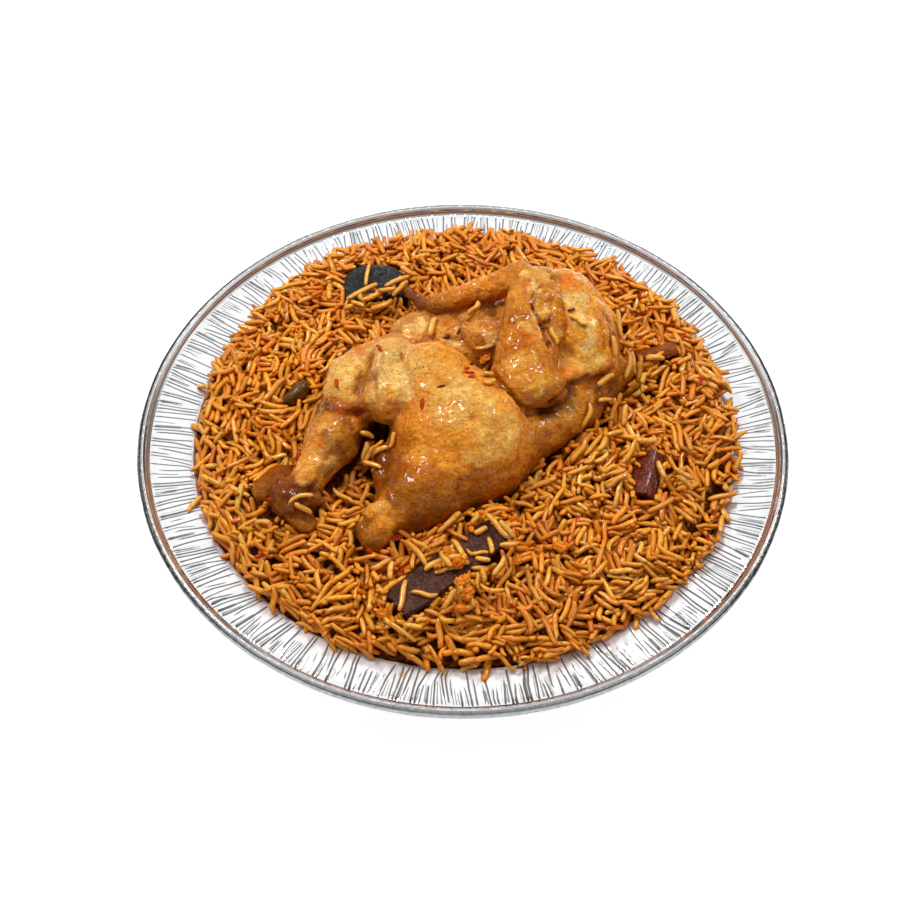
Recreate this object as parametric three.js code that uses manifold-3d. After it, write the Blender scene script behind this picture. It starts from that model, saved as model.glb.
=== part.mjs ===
// Plate of chicken madghout: half a roast chicken on a heap of spiced rice that fills a round
// foil platter, with a dried lime, a cardamom pod, three pieces of bark and a spice berry.
// Millimetres, +Z up, standing on z = 0. The front of the platter is at -Y.
import * as THREE from 'three';
import { mergeVertices } from 'three/addons/utils/BufferGeometryUtils.js';
import { SimplifyModifier } from 'three/addons/modifiers/SimplifyModifier.js';
import Module from 'manifold-3d';

const wasm = await Module();
wasm.setup();
const { PI, sin, cos, hypot, min, max, abs, sign, sqrt } = Math;

// Foil platter: a sloping wall, a wide crimped flange and a rolled rim behind a small step
const RIM_RADIUS = 175;
const BEAD_RADIUS = 2.4;
const BEAD_HEIGHT = 27.8;
const STEP_RADIUS = 169.5;
const STEP_FOOT_HEIGHT = 26.8;
const FLANGE_RADIUS = 145;
const FLANGE_HEIGHT = 23.2;
const BASE_RADIUS = 121;
const FOIL = 0.8;
const CRIMP = 0.45;
const PLATTER_SIDES = 100;

// Rice heap: low at the front, and banked up to a steep edge that spills on the flange at the back
const HEAP_TOP = 41.5;
const HEAP_EDGE = 25;
const HEAP_RADIUS = 145.2;
const SPILL_BACK = 4.2;
const SPILL_RIGHT = 2;
const EDGE_RISE = 1.8;
const RICE_SIDES = 72;
const RICE_STEP = 10.4;
const GRAIN_LENGTH = 12.5;
const GRAIN_WIDTH = 2.8;
const GRAIN_SIDES = 4;
const GRAIN_COUNT = 110;
const RICE_POINTS = 3700;

// Chicken: flat cut side down, the step that its skin is sampled at, and how many points are kept
// of it and of the bed that it presses into the rice
const CUT_HEIGHT = 37;
const SKIN_STEP = 4;
const SKIN_POINTS = 1500;
const BED_TOP = 45;
const BED_POINTS = 460;
const CHICKEN_POINTS = 1800;

// Free space between solids that lie against each other, and more of it round the chicken's sides
const GAP = 0.4;
const BED_GAP = 1.6;

// Muscles of the half chicken, each a cone with round ends: from, to, radius at each end,
// height over width, and how far it melts into the ones before it
const MUSCLES = {
  haunch: [[-20, -21, 50], [2, -20, 52], 34, 33, 0.98, 14],
  thigh: [[-16, 7, 60], [18, -20, 54], 24.5, 24, 1, 10],
  flank: [[-23, -56, 44], [16, -35, 45], 19, 18, 1, 12],
  rump: [[-33, -65, 46], [-17, -58, 48], 15, 18, 1, 10],
  tail: [[-43, -72, 49], [-48, -79, 45], 10.5, 10, 1, 3],
  kneeLeft: [[-62, 13, 63], [-62, 1, 61], 13, 12.5, 1, 3],
  kneeRight: [[-37, 14, 69], [-39, -6, 66], 14.5, 13.5, 1, 2.5],
  kneeBack: [[-38, 29, 56], [-54, 21, 54], 14, 14, 1, 5],
  drumstickTop: [[-59, -2, 56], [-68, -24, 54], 15, 12.5, 1, 4],
  drumstickEnd: [[-68, -24, 54], [-80, -45, 48], 12.5, 8.5, 1, 6],
  knuckle: [[-83, -52, 46], [-90, -56, 43], 9.5, 9, 1, 4],
  back: [[28, -18, 46], [62, 2, 46], 16, 13, 1, 8],
  neck: [[63, 5, 46], [84, 28, 44], 14, 10, 1, 8],
  trunk: [[-22, 50, 44], [21, 48, 46], 19, 24, 1, 8],
  belly: [[-7, 54, 48], [15, 56, 50], 12, 14, 1, 4],
  bellyFlap: [[-32, 54, 48], [-23, 55, 50], 8, 8, 1, 3],
  breast: [[51, 51, 56], [59, 38, 58], 29, 25, 1, 8],
  breastTop: [[54, 64, 64], [63, 45, 62], 17, 17, 1, 8],
  upperArm: [[45, 8, 58], [71, 25, 56], 12, 12.5, 1, 4],
  forearm: [[32, 1, 67], [39, 47, 80], 16.5, 14.5, 0.72, 2.5],
  elbow: [[30, -5, 63], [34, -3, 61], 12, 11, 1, 3],
  wrist: [[36, 62, 80], [43, 61, 79], 10.5, 11, 0.9, 4],
  hand: [[30, 66, 80], [-13, 60, 66], 8, 5.4, 1, 2.5],
};
// The bare claw at the wing's end: points of its middle line with the radius there
const WING_CLAW = [[-8, 60, 66.5, 4.2], [-15, 60.5, 64, 4], [-22, 65, 60.5, 3], [-28, 75.5, 57, 2.2]];
const WING_CLAW_TIP = [-33.5, 85, 53];
// Rice grains and tomato flakes that cling to the skin: x, y, z close to it, heading in degrees
const CLINGING_GRAINS = [
  [-36.9, -32.6, 76.6, -70], [5.6, 51, 67.7, 50], [-16.5, 44.6, 63.5, 100], [12.5, 30.9, 61.1, 20],
  [13.8, -6.5, 81.8, 120], [48.4, 24.8, 80.9, 60], [60.7, 31.5, 82.1, 110], [80.5, 26.1, 65.9, 100],
  [75.5, 12.1, 58.5, 40], [66.2, -5.9, 57.8, 70], [-5.8, -71.7, 54.2, 40], [-8.9, -74.5, 51.9, 35],
];
const TOMATO_FLAKES = [
  [-21.1, -19.6, 83.3, 40], [-42.8, 13.1, 82.3, 100], [2.8, -1, 83, 120], [-66.2, -1.8, 72.5, 10],
  [-33.1, -78.8, 52.7, 60],
];
const FLAKE_SIZE = vec(3.2, 2, 1.1);

// Whole spices on the rice: place, heading in degrees, and their own sizes
const LIME = { at: vec(-51, 96, 38.5), heading: -4, size: vec(22.5, 16, 14.5), dent: 0.34 };
const POD = { at: vec(-89.5, 15, 42.6), heading: 32, length: 19.5, radius: 4.6 };
const BARK_FRONT = { at: vec(-6.5, -96, 41.6), heading: 41, pitch: 2, length: 70, width: 19, thick: 3.4, sag: 2.5 };
const BARK_RIGHT = { at: vec(96.5, -36, 42.2), heading: 76, pitch: 4, length: 28, width: 15, thick: 4, sag: 4.5 };
const BARK_STRIP = { at: vec(106, 44.5, 44), heading: 18, pitch: 6, length: 23, width: 10, thick: 2, sag: 3 };
const BERRY = { at: vec(86.4, 74, 43), radius: 3.1 };

// The ways to order the three axes, each with whether it is an even one, and the even ways to
// order a tetrahedron's four corners
const AXIS_ORDERS = [
  [0, 1, 2, true], [1, 2, 0, true], [2, 0, 1, true], [0, 2, 1, false], [2, 1, 0, false], [1, 0, 2, false],
];
const EVEN_ORDERS = [
  [0, 1, 2, 3], [0, 2, 3, 1], [0, 3, 1, 2], [1, 0, 3, 2], [1, 2, 0, 3], [1, 3, 2, 0],
  [2, 0, 1, 3], [2, 1, 3, 0], [2, 3, 0, 1], [3, 0, 2, 1], [3, 1, 0, 2], [3, 2, 1, 0],
];

function vec(x, y, z) {
  return new THREE.Vector3(x, y, z);
}

function radians(degrees) {
  return degrees * PI / 180;
}

function mix(a, b, t) {
  return a + (b - a) * t;
}

function smoothstep(low, high, x) {
  const t = min(max((x - low) / (high - low), 0), 1);
  return t * t * (3 - 2 * t);
}

// Repeatable random numbers from 0 to 1.
function randomSource(seed) {
  let state = seed;
  return () => {
    state = (state + 0x6D2B79F5) | 0;
    let t = Math.imul(state ^ (state >>> 15), 1 | state);
    t = (t + Math.imul(t ^ (t >>> 7), 61 | t)) ^ t;
    return ((t ^ (t >>> 14)) >>> 0) / 4294967296;
  };
}

// Solids and geometry

function solidFrom(positions, triangles) {
  return new wasm.Manifold(new wasm.Mesh({
    numProp: 3,
    vertProperties: new Float32Array(positions),
    triVerts: new Uint32Array(triangles),
  }));
}

function geometryFrom(solid) {
  const mesh = solid.getMesh();
  const geometry = new THREE.BufferGeometry();
  geometry.setAttribute('position', new THREE.BufferAttribute(mesh.vertProperties, 3));
  geometry.setIndex(new THREE.BufferAttribute(mesh.triVerts, 1));
  return geometry;
}

function solidFromGeometry(geometry) {
  const bare = new THREE.BufferGeometry();
  bare.setAttribute('position', geometry.getAttribute('position'));
  bare.setIndex(geometry.index);
  const merged = mergeVertices(bare, 1e-3);
  return solidFrom(merged.attributes.position.array, merged.index.array);
}

// The same closed surface with only so many points kept, fewest where it is nearly flat.
async function simplified(geometry, points) {
  const surplus = geometry.getAttribute('position').count - points;
  return solidFromGeometry(await new SimplifyModifier().modify(geometry, surplus));
}

// The largest of the bodies that a solid falls into.
function largestBody(solid) {
  const bodies = solid.decompose();
  return bodies.reduce((best, body) => (body.volume() > best.volume() ? body : best));
}

// A closed solid through rings of points. Each ring runs anticlockwise seen from the last one,
// and the first and last rings are single points. Rings may differ in how many points they have.
function ringSolid(rings) {
  const positions = [];
  const starts = rings.map((ring) => {
    const start = positions.length / 3;
    ring.forEach((p) => positions.push(p.x, p.y, p.z));
    return start;
  });
  const triangles = [];
  for (let k = 0; k + 1 < rings.length; k++) {
    const a = rings[k].length;
    const b = rings[k + 1].length;
    let i = 0;
    let j = 0;
    const pointA = (n) => starts[k] + n % a;
    const pointB = (n) => starts[k + 1] + n % b;
    while (i < (a > 1 ? a : 0) || j < (b > 1 ? b : 0)) {
      const stepA = a > 1 && i < a && (b === 1 || j === b || (i + 1) / a <= (j + 1) / b);
      if (stepA) {
        triangles.push(pointA(i), pointA(i + 1), pointB(j));
        i++;
      } else {
        triangles.push(pointA(i), pointB(j + 1), pointB(j));
        j++;
      }
    }
  }
  return solidFrom(positions, triangles);
}

function ring(count, place) {
  return Array.from({ length: count }, (_, i) => place(2 * PI * i / count, i));
}

// Foil platter

function flangeHeight(radius) {
  return FLANGE_HEIGHT + (radius - FLANGE_RADIUS) * (STEP_FOOT_HEIGHT - FLANGE_HEIGHT) / (STEP_RADIUS - FLANGE_RADIUS);
}

function foilPlatter() {
  const random = randomSource(11);
  const crimps = Array.from({ length: PLATTER_SIDES }, (_, i) => CRIMP * (i % 2 ? 1 : -1) * mix(0.5, 1, random()));
  const circle = (radius, height, crimped = 0) => ring(PLATTER_SIDES, (angle, i) =>
    vec(radius * cos(angle), radius * sin(angle), height + crimped * crimps[i]));
  const beadPoint = (degrees) => circle(
    RIM_RADIUS - BEAD_RADIUS + BEAD_RADIUS * cos(radians(degrees)),
    BEAD_HEIGHT + BEAD_RADIUS * sin(radians(degrees)));
  const lean = FOIL * 0.45;
  return ringSolid([
    [vec(0, 0, 0)],
    circle(BASE_RADIUS, 0),
    circle(FLANGE_RADIUS + lean, FLANGE_HEIGHT - FOIL),
    circle(STEP_RADIUS, STEP_FOOT_HEIGHT - FOIL, 1),
    beadPoint(-80),
    beadPoint(0),
    beadPoint(60),
    beadPoint(120),
    beadPoint(175),
    circle(STEP_RADIUS, STEP_FOOT_HEIGHT, 1),
    circle(FLANGE_RADIUS, FLANGE_HEIGHT),
    circle(BASE_RADIUS - lean, FOIL),
    [vec(0, 0, FOIL)],
  ]);
}

// Half chicken

function chickenMuscles() {
  return Object.values(MUSCLES).map(([from, to, fromRadius, toRadius, tall, melt]) => {
    const start = [from[0], from[1], from[2] / tall];
    const along = [to[0] - from[0], to[1] - from[1], (to[2] - from[2]) / tall];
    const length2 = along[0] ** 2 + along[1] ** 2 + along[2] ** 2;
    return { start, along, length2, fromRadius, toRadius, tall, melt };
  });
}

// Distance to one muscle, negative inside.
function muscleDistance(muscle, x, y, z) {
  const { start, along, length2, fromRadius, toRadius, tall } = muscle;
  const taper = fromRadius - toRadius;
  const slant2 = length2 - taper * taper;
  const p = [x - start[0], y - start[1], z / tall - start[2]];
  const reach = p[0] * along[0] + p[1] * along[1] + p[2] * along[2];
  const past = reach - length2;
  const across2 = p.reduce((sum, value, i) => sum + (value * length2 - along[i] * reach) ** 2, 0);
  const reach2 = reach * reach * length2;
  const past2 = past * past * length2;
  const turn = sign(taper) * taper * taper * across2;
  const squeeze = min(1, tall);
  if (sign(past) * slant2 * past2 > turn) {
    return (sqrt(across2 + past2) / length2 - toRadius) * squeeze;
  }
  if (sign(reach) * slant2 * reach2 < turn) {
    return (sqrt(across2 + reach2) / length2 - fromRadius) * squeeze;
  }
  return ((sqrt(across2 * slant2 / length2) + reach * taper) / length2 - fromRadius) * squeeze;
}

const muscles = chickenMuscles();

// Distance to the chicken's skin, before its flat cut side is taken off.
function skinDistance(x, y, z) {
  let distance = Infinity;
  for (const muscle of muscles) {
    const next = muscleDistance(muscle, x, y, z);
    const blend = distance === Infinity ? 0 : max(muscle.melt - abs(distance - next), 0) / muscle.melt;
    distance = min(distance, next) - blend * blend * muscle.melt * 0.25;
  }
  return distance;
}

function skinNormal(p) {
  const e = 0.3;
  return vec(
    skinDistance(p.x + e, p.y, p.z) - skinDistance(p.x - e, p.y, p.z),
    skinDistance(p.x, p.y + e, p.z) - skinDistance(p.x, p.y - e, p.z),
    skinDistance(p.x, p.y, p.z + e) - skinDistance(p.x, p.y, p.z - e)).normalize();
}

// Moves a point along the skin's normal until it lies on the skin.
function ontoSkin(p) {
  const point = p.clone();
  for (let i = 0; i < 4; i++) {
    point.addScaledVector(skinNormal(point), -skinDistance(point.x, point.y, point.z));
  }
  return point;
}

// A closed mesh of the surface where a field is zero, negative inside. Each cell of a grid is cut
// into six tetrahedra, and each of those that the surface crosses gives one or two triangles.
function fieldSurface(field, low, high, step) {
  const count = [0, 1, 2].map((axis) => Math.ceil((high[axis] - low[axis]) / step) + 1);
  const stride = [count[1] * count[2], count[2], 1];
  const cellOf = (n) => [Math.floor(n / stride[0]), Math.floor(n / stride[1]) % count[1], n % count[2]];
  const values = Float64Array.from({ length: count[0] * stride[0] }, (_, n) =>
    field(...cellOf(n).map((c, axis) => low[axis] + c * step)));
  const positions = [];
  const triangles = [];
  const known = new Map();
  const crossing = (a, b) => {
    const key = min(a, b) * values.length + max(a, b);
    if (!known.has(key)) {
      // Kept off the corners, so that no two crossings fall together.
      const t = min(max(values[a] / (values[a] - values[b]), 0.08), 0.92);
      const to = cellOf(b);
      known.set(key, positions.length / 3);
      cellOf(a).forEach((c, axis) => positions.push(low[axis] + mix(c, to[axis], t) * step));
    }
    return known.get(key);
  };
  const cutTetrahedron = (corners) => {
    const inside = corners.map((n) => values[n] < 0);
    const insideCount = inside.filter(Boolean).length;
    if (insideCount % 4 === 0) {
      return;
    }
    const order = EVEN_ORDERS.find((o) => o.every((n, i) => inside[n] === (i < insideCount)));
    const [a, b, c, d] = order.map((n) => corners[n]);
    if (insideCount === 1) {
      triangles.push(crossing(a, b), crossing(a, c), crossing(a, d));
    } else if (insideCount === 3) {
      triangles.push(crossing(a, d), crossing(b, d), crossing(c, d));
    } else {
      triangles.push(crossing(a, c), crossing(a, d), crossing(b, d));
      triangles.push(crossing(a, c), crossing(b, d), crossing(b, c));
    }
  };
  for (let n = 0; n < values.length; n++) {
    if (cellOf(n).every((c, axis) => c < count[axis] - 1)) {
      for (const [p, q, r, even] of AXIS_ORDERS) {
        const first = n + stride[p];
        const second = first + stride[q];
        const last = second + stride[r];
        cutTetrahedron(even ? [n, first, second, last] : [n, second, first, last]);
      }
    }
  }
  return { positions, triangles };
}

// The chicken's body grown sideways by a margin, from a flat floor up to a top height, with only
// so many points kept.
async function chickenBody(margin, floor, top, points) {
  const low = [-106, -106, CUT_HEIGHT - 3 * SKIN_STEP];
  const high = [104, 96, min(top, 100) + 2 * SKIN_STEP];
  const sliced = (x, y, z) => max(skinDistance(x, y, z) - margin, CUT_HEIGHT - SKIN_STEP - z, z - top);
  const { positions, triangles } = fieldSurface(sliced, low, high, SKIN_STEP);
  const skin = new THREE.BufferGeometry();
  skin.setAttribute('position', new THREE.Float32BufferAttribute(positions, 3));
  skin.setIndex(triangles);
  const body = await simplified(skin, points);
  const below = new THREE.BoxGeometry(400, 400, 60);
  below.translate(0, 0, floor - 30);
  return largestBody(body.subtract(solidFromGeometry(below)));
}

// A tapered tube of six sides through points that carry a radius each.
function taperedTube(points, tip) {
  const sides = 6;
  const centres = points.map((p) => vec(p[0], p[1], p[2]));
  const end = vec(...tip);
  const rings = centres.map((centre, i) => {
    const axis = (centres[i + 1] ?? end).clone().sub(centres[i - 1] ?? centre).normalize();
    const side = vec(0, 0, 1).cross(axis).normalize();
    const up = axis.clone().cross(side);
    return ring(sides, (angle) => centre.clone()
      .addScaledVector(side, points[i][3] * cos(angle))
      .addScaledVector(up, points[i][3] * sin(angle)));
  });
  return ringSolid([[centres[0]], ...rings, [end]]);
}

// A rice grain: a bent spindle through three rings of points.
function grain(centre, along, side, length, width, bend) {
  const stations = [-1, -0.62, 0, 0.62, 1];
  const girth = [0, 0.8, 1, 0.8, 0];
  const up = along.clone().cross(side);
  const rings = stations.map((s, i) => {
    const middle = centre.clone()
      .addScaledVector(along, s * length / 2)
      .addScaledVector(side, bend * (1 - s * s));
    const radius = girth[i] * width / 2;
    return radius === 0 ? [middle] : ring(GRAIN_SIDES, (angle) => middle.clone()
      .addScaledVector(side, radius * cos(angle))
      .addScaledVector(up, radius * sin(angle)));
  });
  return ringSolid(rings);
}

// Axes that lie in the skin at a point, the first one turned to a heading.
function skinAxes(normal, heading) {
  const flat = vec(cos(radians(heading)), sin(radians(heading)), 0);
  const along = flat.addScaledVector(normal, -flat.dot(normal)).normalize();
  return { along, side: normal.clone().cross(along) };
}

function clingingGrain([x, y, z, heading], random) {
  const point = ontoSkin(vec(x, y, z));
  const normal = skinNormal(point);
  const { along, side } = skinAxes(normal, heading);
  const centre = point.addScaledVector(normal, 0.25 * GRAIN_WIDTH);
  return grain(centre, along, side, GRAIN_LENGTH * mix(0.8, 1.05, random()), GRAIN_WIDTH, mix(-1.6, 1.6, random()));
}

function tomatoFlake([x, y, z, heading]) {
  const point = ontoSkin(vec(x, y, z));
  const normal = skinNormal(point);
  const { along, side } = skinAxes(normal, heading);
  const flake = new THREE.IcosahedronGeometry(1, 0);
  flake.scale(FLAKE_SIZE.x, FLAKE_SIZE.y, FLAKE_SIZE.z);
  flake.applyMatrix4(new THREE.Matrix4().makeBasis(along, side, normal).setPosition(point));
  return solidFromGeometry(flake);
}

async function halfChicken() {
  const random = randomSource(5);
  const chicken = wasm.Manifold.union([
    await chickenBody(0, CUT_HEIGHT, Infinity, SKIN_POINTS),
    taperedTube(WING_CLAW, WING_CLAW_TIP),
    ...CLINGING_GRAINS.map((entry) => clingingGrain(entry, random)),
    ...TOMATO_FLAKES.map(tomatoFlake),
  ]);
  return simplified(geometryFrom(chicken), CHICKEN_POINTS);
}

// Whole spices. Each is made in its own frame, a little larger all round by a margin, and placed.

function placedSolid(solid, spice) {
  const turn = new THREE.Euler(0, radians(-(spice.pitch ?? 0)), radians(spice.heading ?? 0), 'ZYX');
  const matrix = new THREE.Matrix4().makeRotationFromEuler(turn).setPosition(spice.at);
  return solid.transform(matrix.elements);
}

// A shrivelled dried lime: a flattened ball with a hollow pressed into its upper left side.
function driedLime(margin) {
  const ball = mergeVertices(bareGeometry(new THREE.IcosahedronGeometry(1, 2)), 1e-4);
  const point = vec(0, 0, 0);
  const hollow = vec(-0.45, -0.25, 0.85).normalize();
  const position = ball.attributes.position;
  for (let i = 0; i < position.count; i++) {
    point.fromBufferAttribute(position, i);
    const pressed = LIME.dent * smoothstep(0.62, 1, point.dot(hollow));
    const wrinkle = 0.035 * sin(7 * point.x + 3 * point.z) * cos(6 * point.y - 2 * point.x);
    point.multiplyScalar(1 - pressed + wrinkle).multiply(LIME.size);
    point.addScaledVector(point.clone().normalize(), margin);
    position.setXYZ(i, point.x, point.y, point.z);
  }
  return placedSolid(solidFromGeometry(ball), LIME);
}

function bareGeometry(geometry) {
  geometry.deleteAttribute('normal');
  geometry.deleteAttribute('uv');
  return geometry;
}

// A cardamom pod: a spindle with three rounded ridges and a short stalk at one end.
function cardamomPod(margin) {
  const half = POD.length / 2;
  const stations = [[-0.8, 0.62], [-0.45, 0.95], [0, 1], [0.45, 0.84], [0.78, 0.45], [0.9, 0.2]];
  const rings = stations.map(([s, girth]) => ring(9, (angle) => {
    const radius = POD.radius * girth * (1 + 0.1 * cos(3 * angle)) + margin;
    return vec(s * half, radius * cos(angle), radius * sin(angle));
  }));
  const solid = ringSolid([[vec(-half - margin, 0, 0)], ...rings, [vec(half + margin, 0, 0)]]);
  return placedSolid(solid, POD);
}

// A slab bent across its width, with an upper and a lower sheet of points and uneven edges.
function barkPiece(bark, margin, shape, seed) {
  const random = randomSource(seed);
  const columns = 6;
  const rows = 3;
  const sheet = (lift) => {
    const points = [];
    for (let i = 0; i <= columns; i++) {
      for (let j = 0; j <= rows; j++) {
        points.push([2 * i / columns - 1, 2 * j / rows - 1, lift]);
      }
    }
    return points;
  };
  const roughness = Array.from({ length: (columns + 1) * (rows + 1) }, () => random() - 0.5);
  const positions = [...sheet(1), ...sheet(-1)].flatMap(([u, v, lift], n) => {
    const rough = roughness[n % roughness.length];
    const ragged = 1 + 0.1 * rough;
    const x = u * (bark.length / 2 * ragged + margin);
    const y = v * (bark.width / 2 * ragged * (1 - 0.2 * abs(u) ** 3) + margin);
    return [x, y, bark.sag * shape(u, v) + 0.5 * rough + lift * (bark.thick / 2 + margin)];
  });
  const triangles = [];
  const top = (i, j) => i * (rows + 1) + j;
  const bottom = (i, j) => top(i, j) + roughness.length;
  const quad = (a, b, c, d) => triangles.push(a, b, c, a, c, d);
  for (let i = 0; i < columns; i++) {
    for (let j = 0; j < rows; j++) {
      quad(top(i, j), top(i + 1, j), top(i + 1, j + 1), top(i, j + 1));
      quad(bottom(i, j), bottom(i, j + 1), bottom(i + 1, j + 1), bottom(i + 1, j));
    }
    quad(bottom(i, 0), bottom(i + 1, 0), top(i + 1, 0), top(i, 0));
    quad(top(i, rows), top(i + 1, rows), bottom(i + 1, rows), bottom(i, rows));
  }
  for (let j = 0; j < rows; j++) {
    quad(top(0, j), top(0, j + 1), bottom(0, j + 1), bottom(0, j));
    quad(top(columns, j + 1), top(columns, j), bottom(columns, j), bottom(columns, j + 1));
  }
  return placedSolid(solidFrom(positions, triangles), bark);
}

// How the bark pieces bend: a shallow trough, a ridge like a roof, and a curled peel.
const trough = (u, v) => 0.5 * v * v - 0.35 * u * u;
const roof = (u, v) => 0.5 - abs(v + 0.25);
const curl = (u, v) => 0.6 - v * v - 0.2 * u;

function spiceBerry(margin) {
  const ball = bareGeometry(new THREE.IcosahedronGeometry(BERRY.radius + margin, 1));
  return placedSolid(solidFromGeometry(ball), BERRY);
}

const SPICES = {
  dried_lime: driedLime,
  cardamom_pod: cardamomPod,
  bark_front: (margin) => barkPiece(BARK_FRONT, margin, trough, 3),
  bark_right: (margin) => barkPiece(BARK_RIGHT, margin, roof, 8),
  bark_strip: (margin) => barkPiece(BARK_STRIP, margin, curl, 21),
  spice_berry: spiceBerry,
};

// Rice

function heapRadius(angle) {
  const back = max(0, sin(angle));
  const right = max(0, cos(angle));
  const uneven = 0.7 * sin(9 * angle + 1) + 0.6 * sin(17 * angle + 4) + 0.5 * sin(29 * angle);
  return max(HEAP_RADIUS + SPILL_BACK * back ** 1.5 + SPILL_RIGHT * right + uneven, FLANGE_RADIUS);
}

// Low lumps of the size of a few grains.
function lumps(x, y) {
  return 0.8 * sin(x / 7.3 + 1.3) * cos(y / 8.1 + 0.4) + 0.7 * sin((x + y) / 5.2 + 2) * sin((x - 1.4 * y) / 9.7);
}

function heapHeight(x, y) {
  const radius = hypot(x, y);
  const angle = Math.atan2(y, x);
  const back = smoothstep(-0.3, 0.6, sin(angle));
  const reach = min(radius / heapRadius(angle), 1);
  const edge = HEAP_EDGE + 3 * back;
  return edge + (HEAP_TOP - edge) * (1 - reach ** (5 + 11 * back)) ** (0.8 - 0.2 * back) + lumps(x, y);
}

// The bare heap: it follows the platter inside, spills on the flange and rises to the top.
function riceCore() {
  const outline = (count, inset, height) => ring(count, (angle) => {
    const radius = heapRadius(angle) - inset;
    return vec(radius * cos(angle), radius * sin(angle), height(radius));
  });
  const circle = (radius, height) => ring(RICE_SIDES, (angle) =>
    vec(radius * cos(angle), radius * sin(angle), height));
  const rings = [
    [vec(0, 0, FOIL + GAP)],
    circle(BASE_RADIUS - 1, FOIL + GAP),
    circle(FLANGE_RADIUS - 0.6, FLANGE_HEIGHT + GAP),
    outline(RICE_SIDES, 0.5, (radius) => flangeHeight(radius) + GAP),
    outline(RICE_SIDES, 0, (radius) => flangeHeight(radius) + GAP + EDGE_RISE),
  ];
  const count = Math.floor(HEAP_RADIUS / RICE_STEP);
  for (let k = 0; k < count; k++) {
    const reach = 1 - (k + 0.3) / count;
    const sides = max(6, Math.round(2 * PI * HEAP_RADIUS * reach / RICE_STEP));
    rings.push(ring(sides, (angle) => {
      const radius = heapRadius(angle) * reach;
      const x = radius * cos(angle);
      const y = radius * sin(angle);
      return vec(x, y, heapHeight(x, y));
    }));
  }
  rings.push([vec(0, 0, heapHeight(0, 0))]);
  return ringSolid(rings);
}

// Grains half sunk in the heap, clear of the chicken, the spices and the flange.
function sunkGrains(spices) {
  const random = randomSource(42);
  const clear = (p) => hypot(p.x, p.y) < HEAP_RADIUS - 4 && skinDistance(p.x, p.y, p.z) > GRAIN_WIDTH;
  const grains = [];
  while (grains.length < GRAIN_COUNT) {
    const radius = HEAP_RADIUS * sqrt(random());
    const angle = 2 * PI * random();
    const heading = 2 * PI * random();
    const length = GRAIN_LENGTH * mix(0.75, 1.15, random());
    const bend = mix(-1.4, 1.4, random());
    const x = radius * cos(angle);
    const y = radius * sin(angle);
    const onHeap = (s) => {
      const px = x + s * length / 2 * cos(heading);
      const py = y + s * length / 2 * sin(heading);
      return vec(px, py, heapHeight(px, py) + 0.1 * GRAIN_WIDTH);
    };
    if ([-1, -0.5, 0, 0.5, 1].every((s) => clear(onHeap(s)))) {
      const along = onHeap(0.6).sub(onHeap(-0.6)).normalize();
      const side = vec(0, 0, 1).cross(along).normalize();
      const solid = grain(onHeap(0), along, side, length, GRAIN_WIDTH, bend);
      if (spices.every((spice) => solid.minGap(spice, GAP) >= GAP)) {
        grains.push(solid);
      }
    }
  }
  return grains;
}

async function riceHeap() {
  const spices = Object.values(SPICES).map((make) => make(GAP));
  const chicken = await chickenBody(BED_GAP, CUT_HEIGHT - GAP, BED_TOP, BED_POINTS);
  const bed = wasm.Manifold.difference([riceCore(), chicken, ...spices]);
  const heap = largestBody(wasm.Manifold.union([largestBody(bed), ...sunkGrains(spices)]));
  return simplified(geometryFrom(heap), RICE_POINTS);
}

// Finishes

const finish = (color, roughness, metalness = 0) => new THREE.MeshStandardMaterial({ color, roughness, metalness });
const FINISHES = {
  foil_platter: finish('#d9dbde', 0.28, 1),
  rice: finish('#d98a1c', 0.45),
  half_chicken: finish('#c47a1e', 0.35),
  dried_lime: finish('#26241f', 0.6),
  cardamom_pod: finish('#7d6420', 0.5),
  bark_front: finish('#3a2420', 0.8),
  bark_right: finish('#4a1e16', 0.4),
  bark_strip: finish('#8a4f18', 0.45),
  spice_berry: finish('#b9843a', 0.6),
};

const solids = {
  foil_platter: foilPlatter(),
  rice: await riceHeap(),
  half_chicken: await halfChicken(),
  ...Object.fromEntries(Object.entries(SPICES).map(([name, make]) => [name, make(0)])),
};

const plate = new THREE.Group();
plate.name = 'plate_of_chicken_madghout';
for (const [name, solid] of Object.entries(solids)) {
  const mesh = new THREE.Mesh(geometryFrom(solid), FINISHES[name]);
  mesh.geometry.computeVertexNormals();
  mesh.name = name;
  plate.add(mesh);
}

export default plate;
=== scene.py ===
# %% [markdown]
# The object is a round foil platter, heaped with orange spiced rice, with half a roast chicken
# lying on the rice and a few whole spices round it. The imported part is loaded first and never
# moved: each piece made here goes where the part has it, in metres.

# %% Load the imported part
import math

import bpy
import numpy as np
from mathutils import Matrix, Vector, noise


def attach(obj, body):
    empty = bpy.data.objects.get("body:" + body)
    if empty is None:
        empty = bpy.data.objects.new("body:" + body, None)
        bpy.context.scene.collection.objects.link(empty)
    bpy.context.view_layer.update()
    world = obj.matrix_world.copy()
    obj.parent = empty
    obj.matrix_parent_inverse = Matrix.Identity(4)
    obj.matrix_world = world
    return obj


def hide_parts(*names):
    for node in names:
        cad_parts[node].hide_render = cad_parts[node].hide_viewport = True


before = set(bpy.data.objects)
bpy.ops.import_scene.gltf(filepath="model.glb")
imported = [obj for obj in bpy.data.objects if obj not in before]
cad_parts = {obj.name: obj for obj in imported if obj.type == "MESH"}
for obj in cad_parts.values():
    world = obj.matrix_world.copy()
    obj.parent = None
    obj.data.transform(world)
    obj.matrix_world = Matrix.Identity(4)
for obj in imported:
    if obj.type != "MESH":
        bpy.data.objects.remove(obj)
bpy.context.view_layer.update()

# %% [markdown]
# Operators work on whatever is selected, and the loaded solids start out selected. One helper
# lets go of everything. Sizes below are in millimetres, as on a drawing, and MM makes metres of them.

# %% Helpers for selecting and for reading meshes
MM = 0.001


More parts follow.
